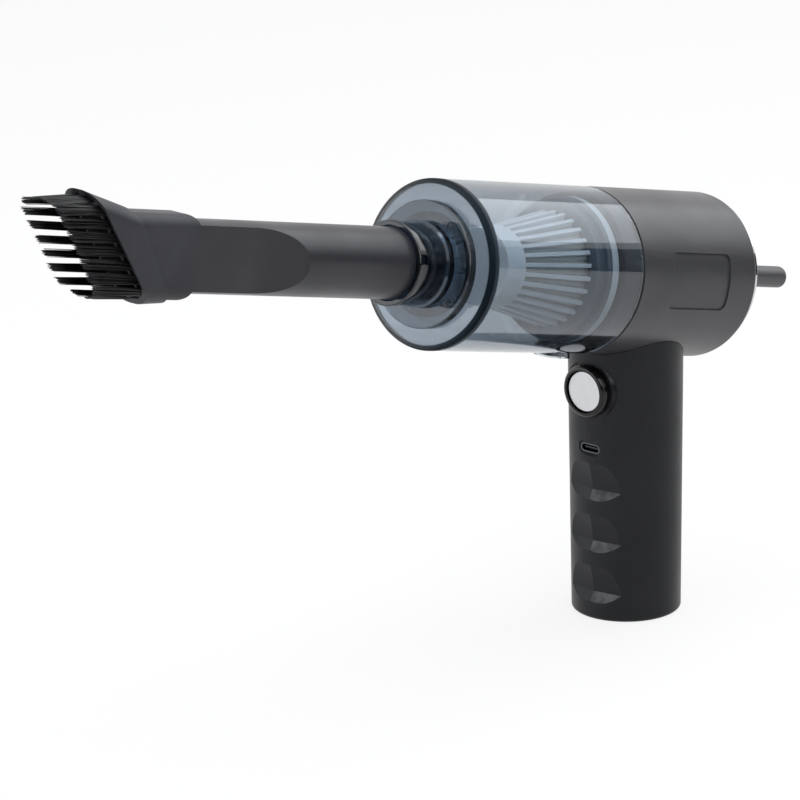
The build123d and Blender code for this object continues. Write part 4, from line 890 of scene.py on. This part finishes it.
# ---------------------------------------------------------------- charging inlet and light
# A USB-C receptacle: a folded stainless shell round a black glass-filled nylon tongue, set back in a
# moulded recess. Above it the flush end of a thin clear light pipe is painted near-black, painted shade for
# a dark pin hole.
shell_colour = "#77797c"
shell_dull_colour = "#5f6164"
pipe_shade_colour = "#050506"
pipe_core_shade_colour = "#030303"

folded_stainless = worked_metal("folded_stainless_steel", shell_colour, shell_dull_colour,
                                roughness=0.30, stroke=(3.0, 0.3, 0.3))
light_pipe = translucent_plastic("light_pipe_acrylic", pipe_shade_colour, pipe_core_shade_colour,
                                 roughness=0.2, scatter=0.2)
finish_node("usb_c_shell", folded_stainless)
finish_node("usb_c_tongue", glass_filled_nylon)
finish_node("charge_light", light_pipe)

# ---------------------------------------------------------------- power button
# A domed bezel of polished black ABS round a push button: a black cap with a satin-brushed aluminium disc
# glued on, held out by a spring. The bezel mirrors the room; the disc shows a soft grey face.
bezel_colour = "#0d0d0f"
bezel_scuff_colour = "#18181a"
disc_colour = "#cdced0"
disc_dull_colour = "#c2c3c5"
brush_stroke = (6.0, 0.12, 6.0)      # mm, fine lines that run up and down


def polished_abs(name, colour, scuff_colour, roughness):
    """ABS off a mirror-polished tool: deep black, with a hard clear gloss and a few dull scuffs."""
    material = empty_material(name)
    tree = material.node_tree
    place = add_node(tree, "ShaderNodeTexCoord")
    scuffs = add_node(tree, "ShaderNodeTexNoise", {"Vector": place.outputs["Object"],
                                                   "Scale": 1 / (3 * mm), "Detail": 6.0})
    rub = add_node(tree, "ShaderNodeMapRange", {"Value": scuffs.outputs[0], "From Min": 0.45,
                                                "From Max": 0.75, "To Min": roughness,
                                                "To Max": roughness + 0.12})
    tone = add_node(tree, "ShaderNodeMapRange", {"Value": scuffs.outputs[0], "From Min": 0.55,
                                                 "From Max": 0.8})
    shade = colour_between(tree, tone.outputs[0], colour, scuff_colour)
    shader = add_node(tree, "ShaderNodeBsdfPrincipled", {"Base Color": shade,
                                                         "Roughness": rub.outputs[0], "IOR": 1.53,
                                                         "Specular IOR Level": 0.3})
    add_node(tree, "ShaderNodeOutputMaterial", {"Surface": shader.outputs[0]})
    return material


bezel_abs = polished_abs("polished_black_abs", bezel_colour, bezel_scuff_colour, roughness=0.07)
brushed_aluminium = worked_metal("brushed_aluminium", disc_colour, disc_dull_colour,
                                 roughness=0.36, stroke=brush_stroke, mark_depth=0.006)
finish_node("button_bezel", bezel_abs)
finish_node("button_cap", bezel_abs)
finish_node("button_disc", brushed_aluminium)

pressed_spring("button_spring", "body")
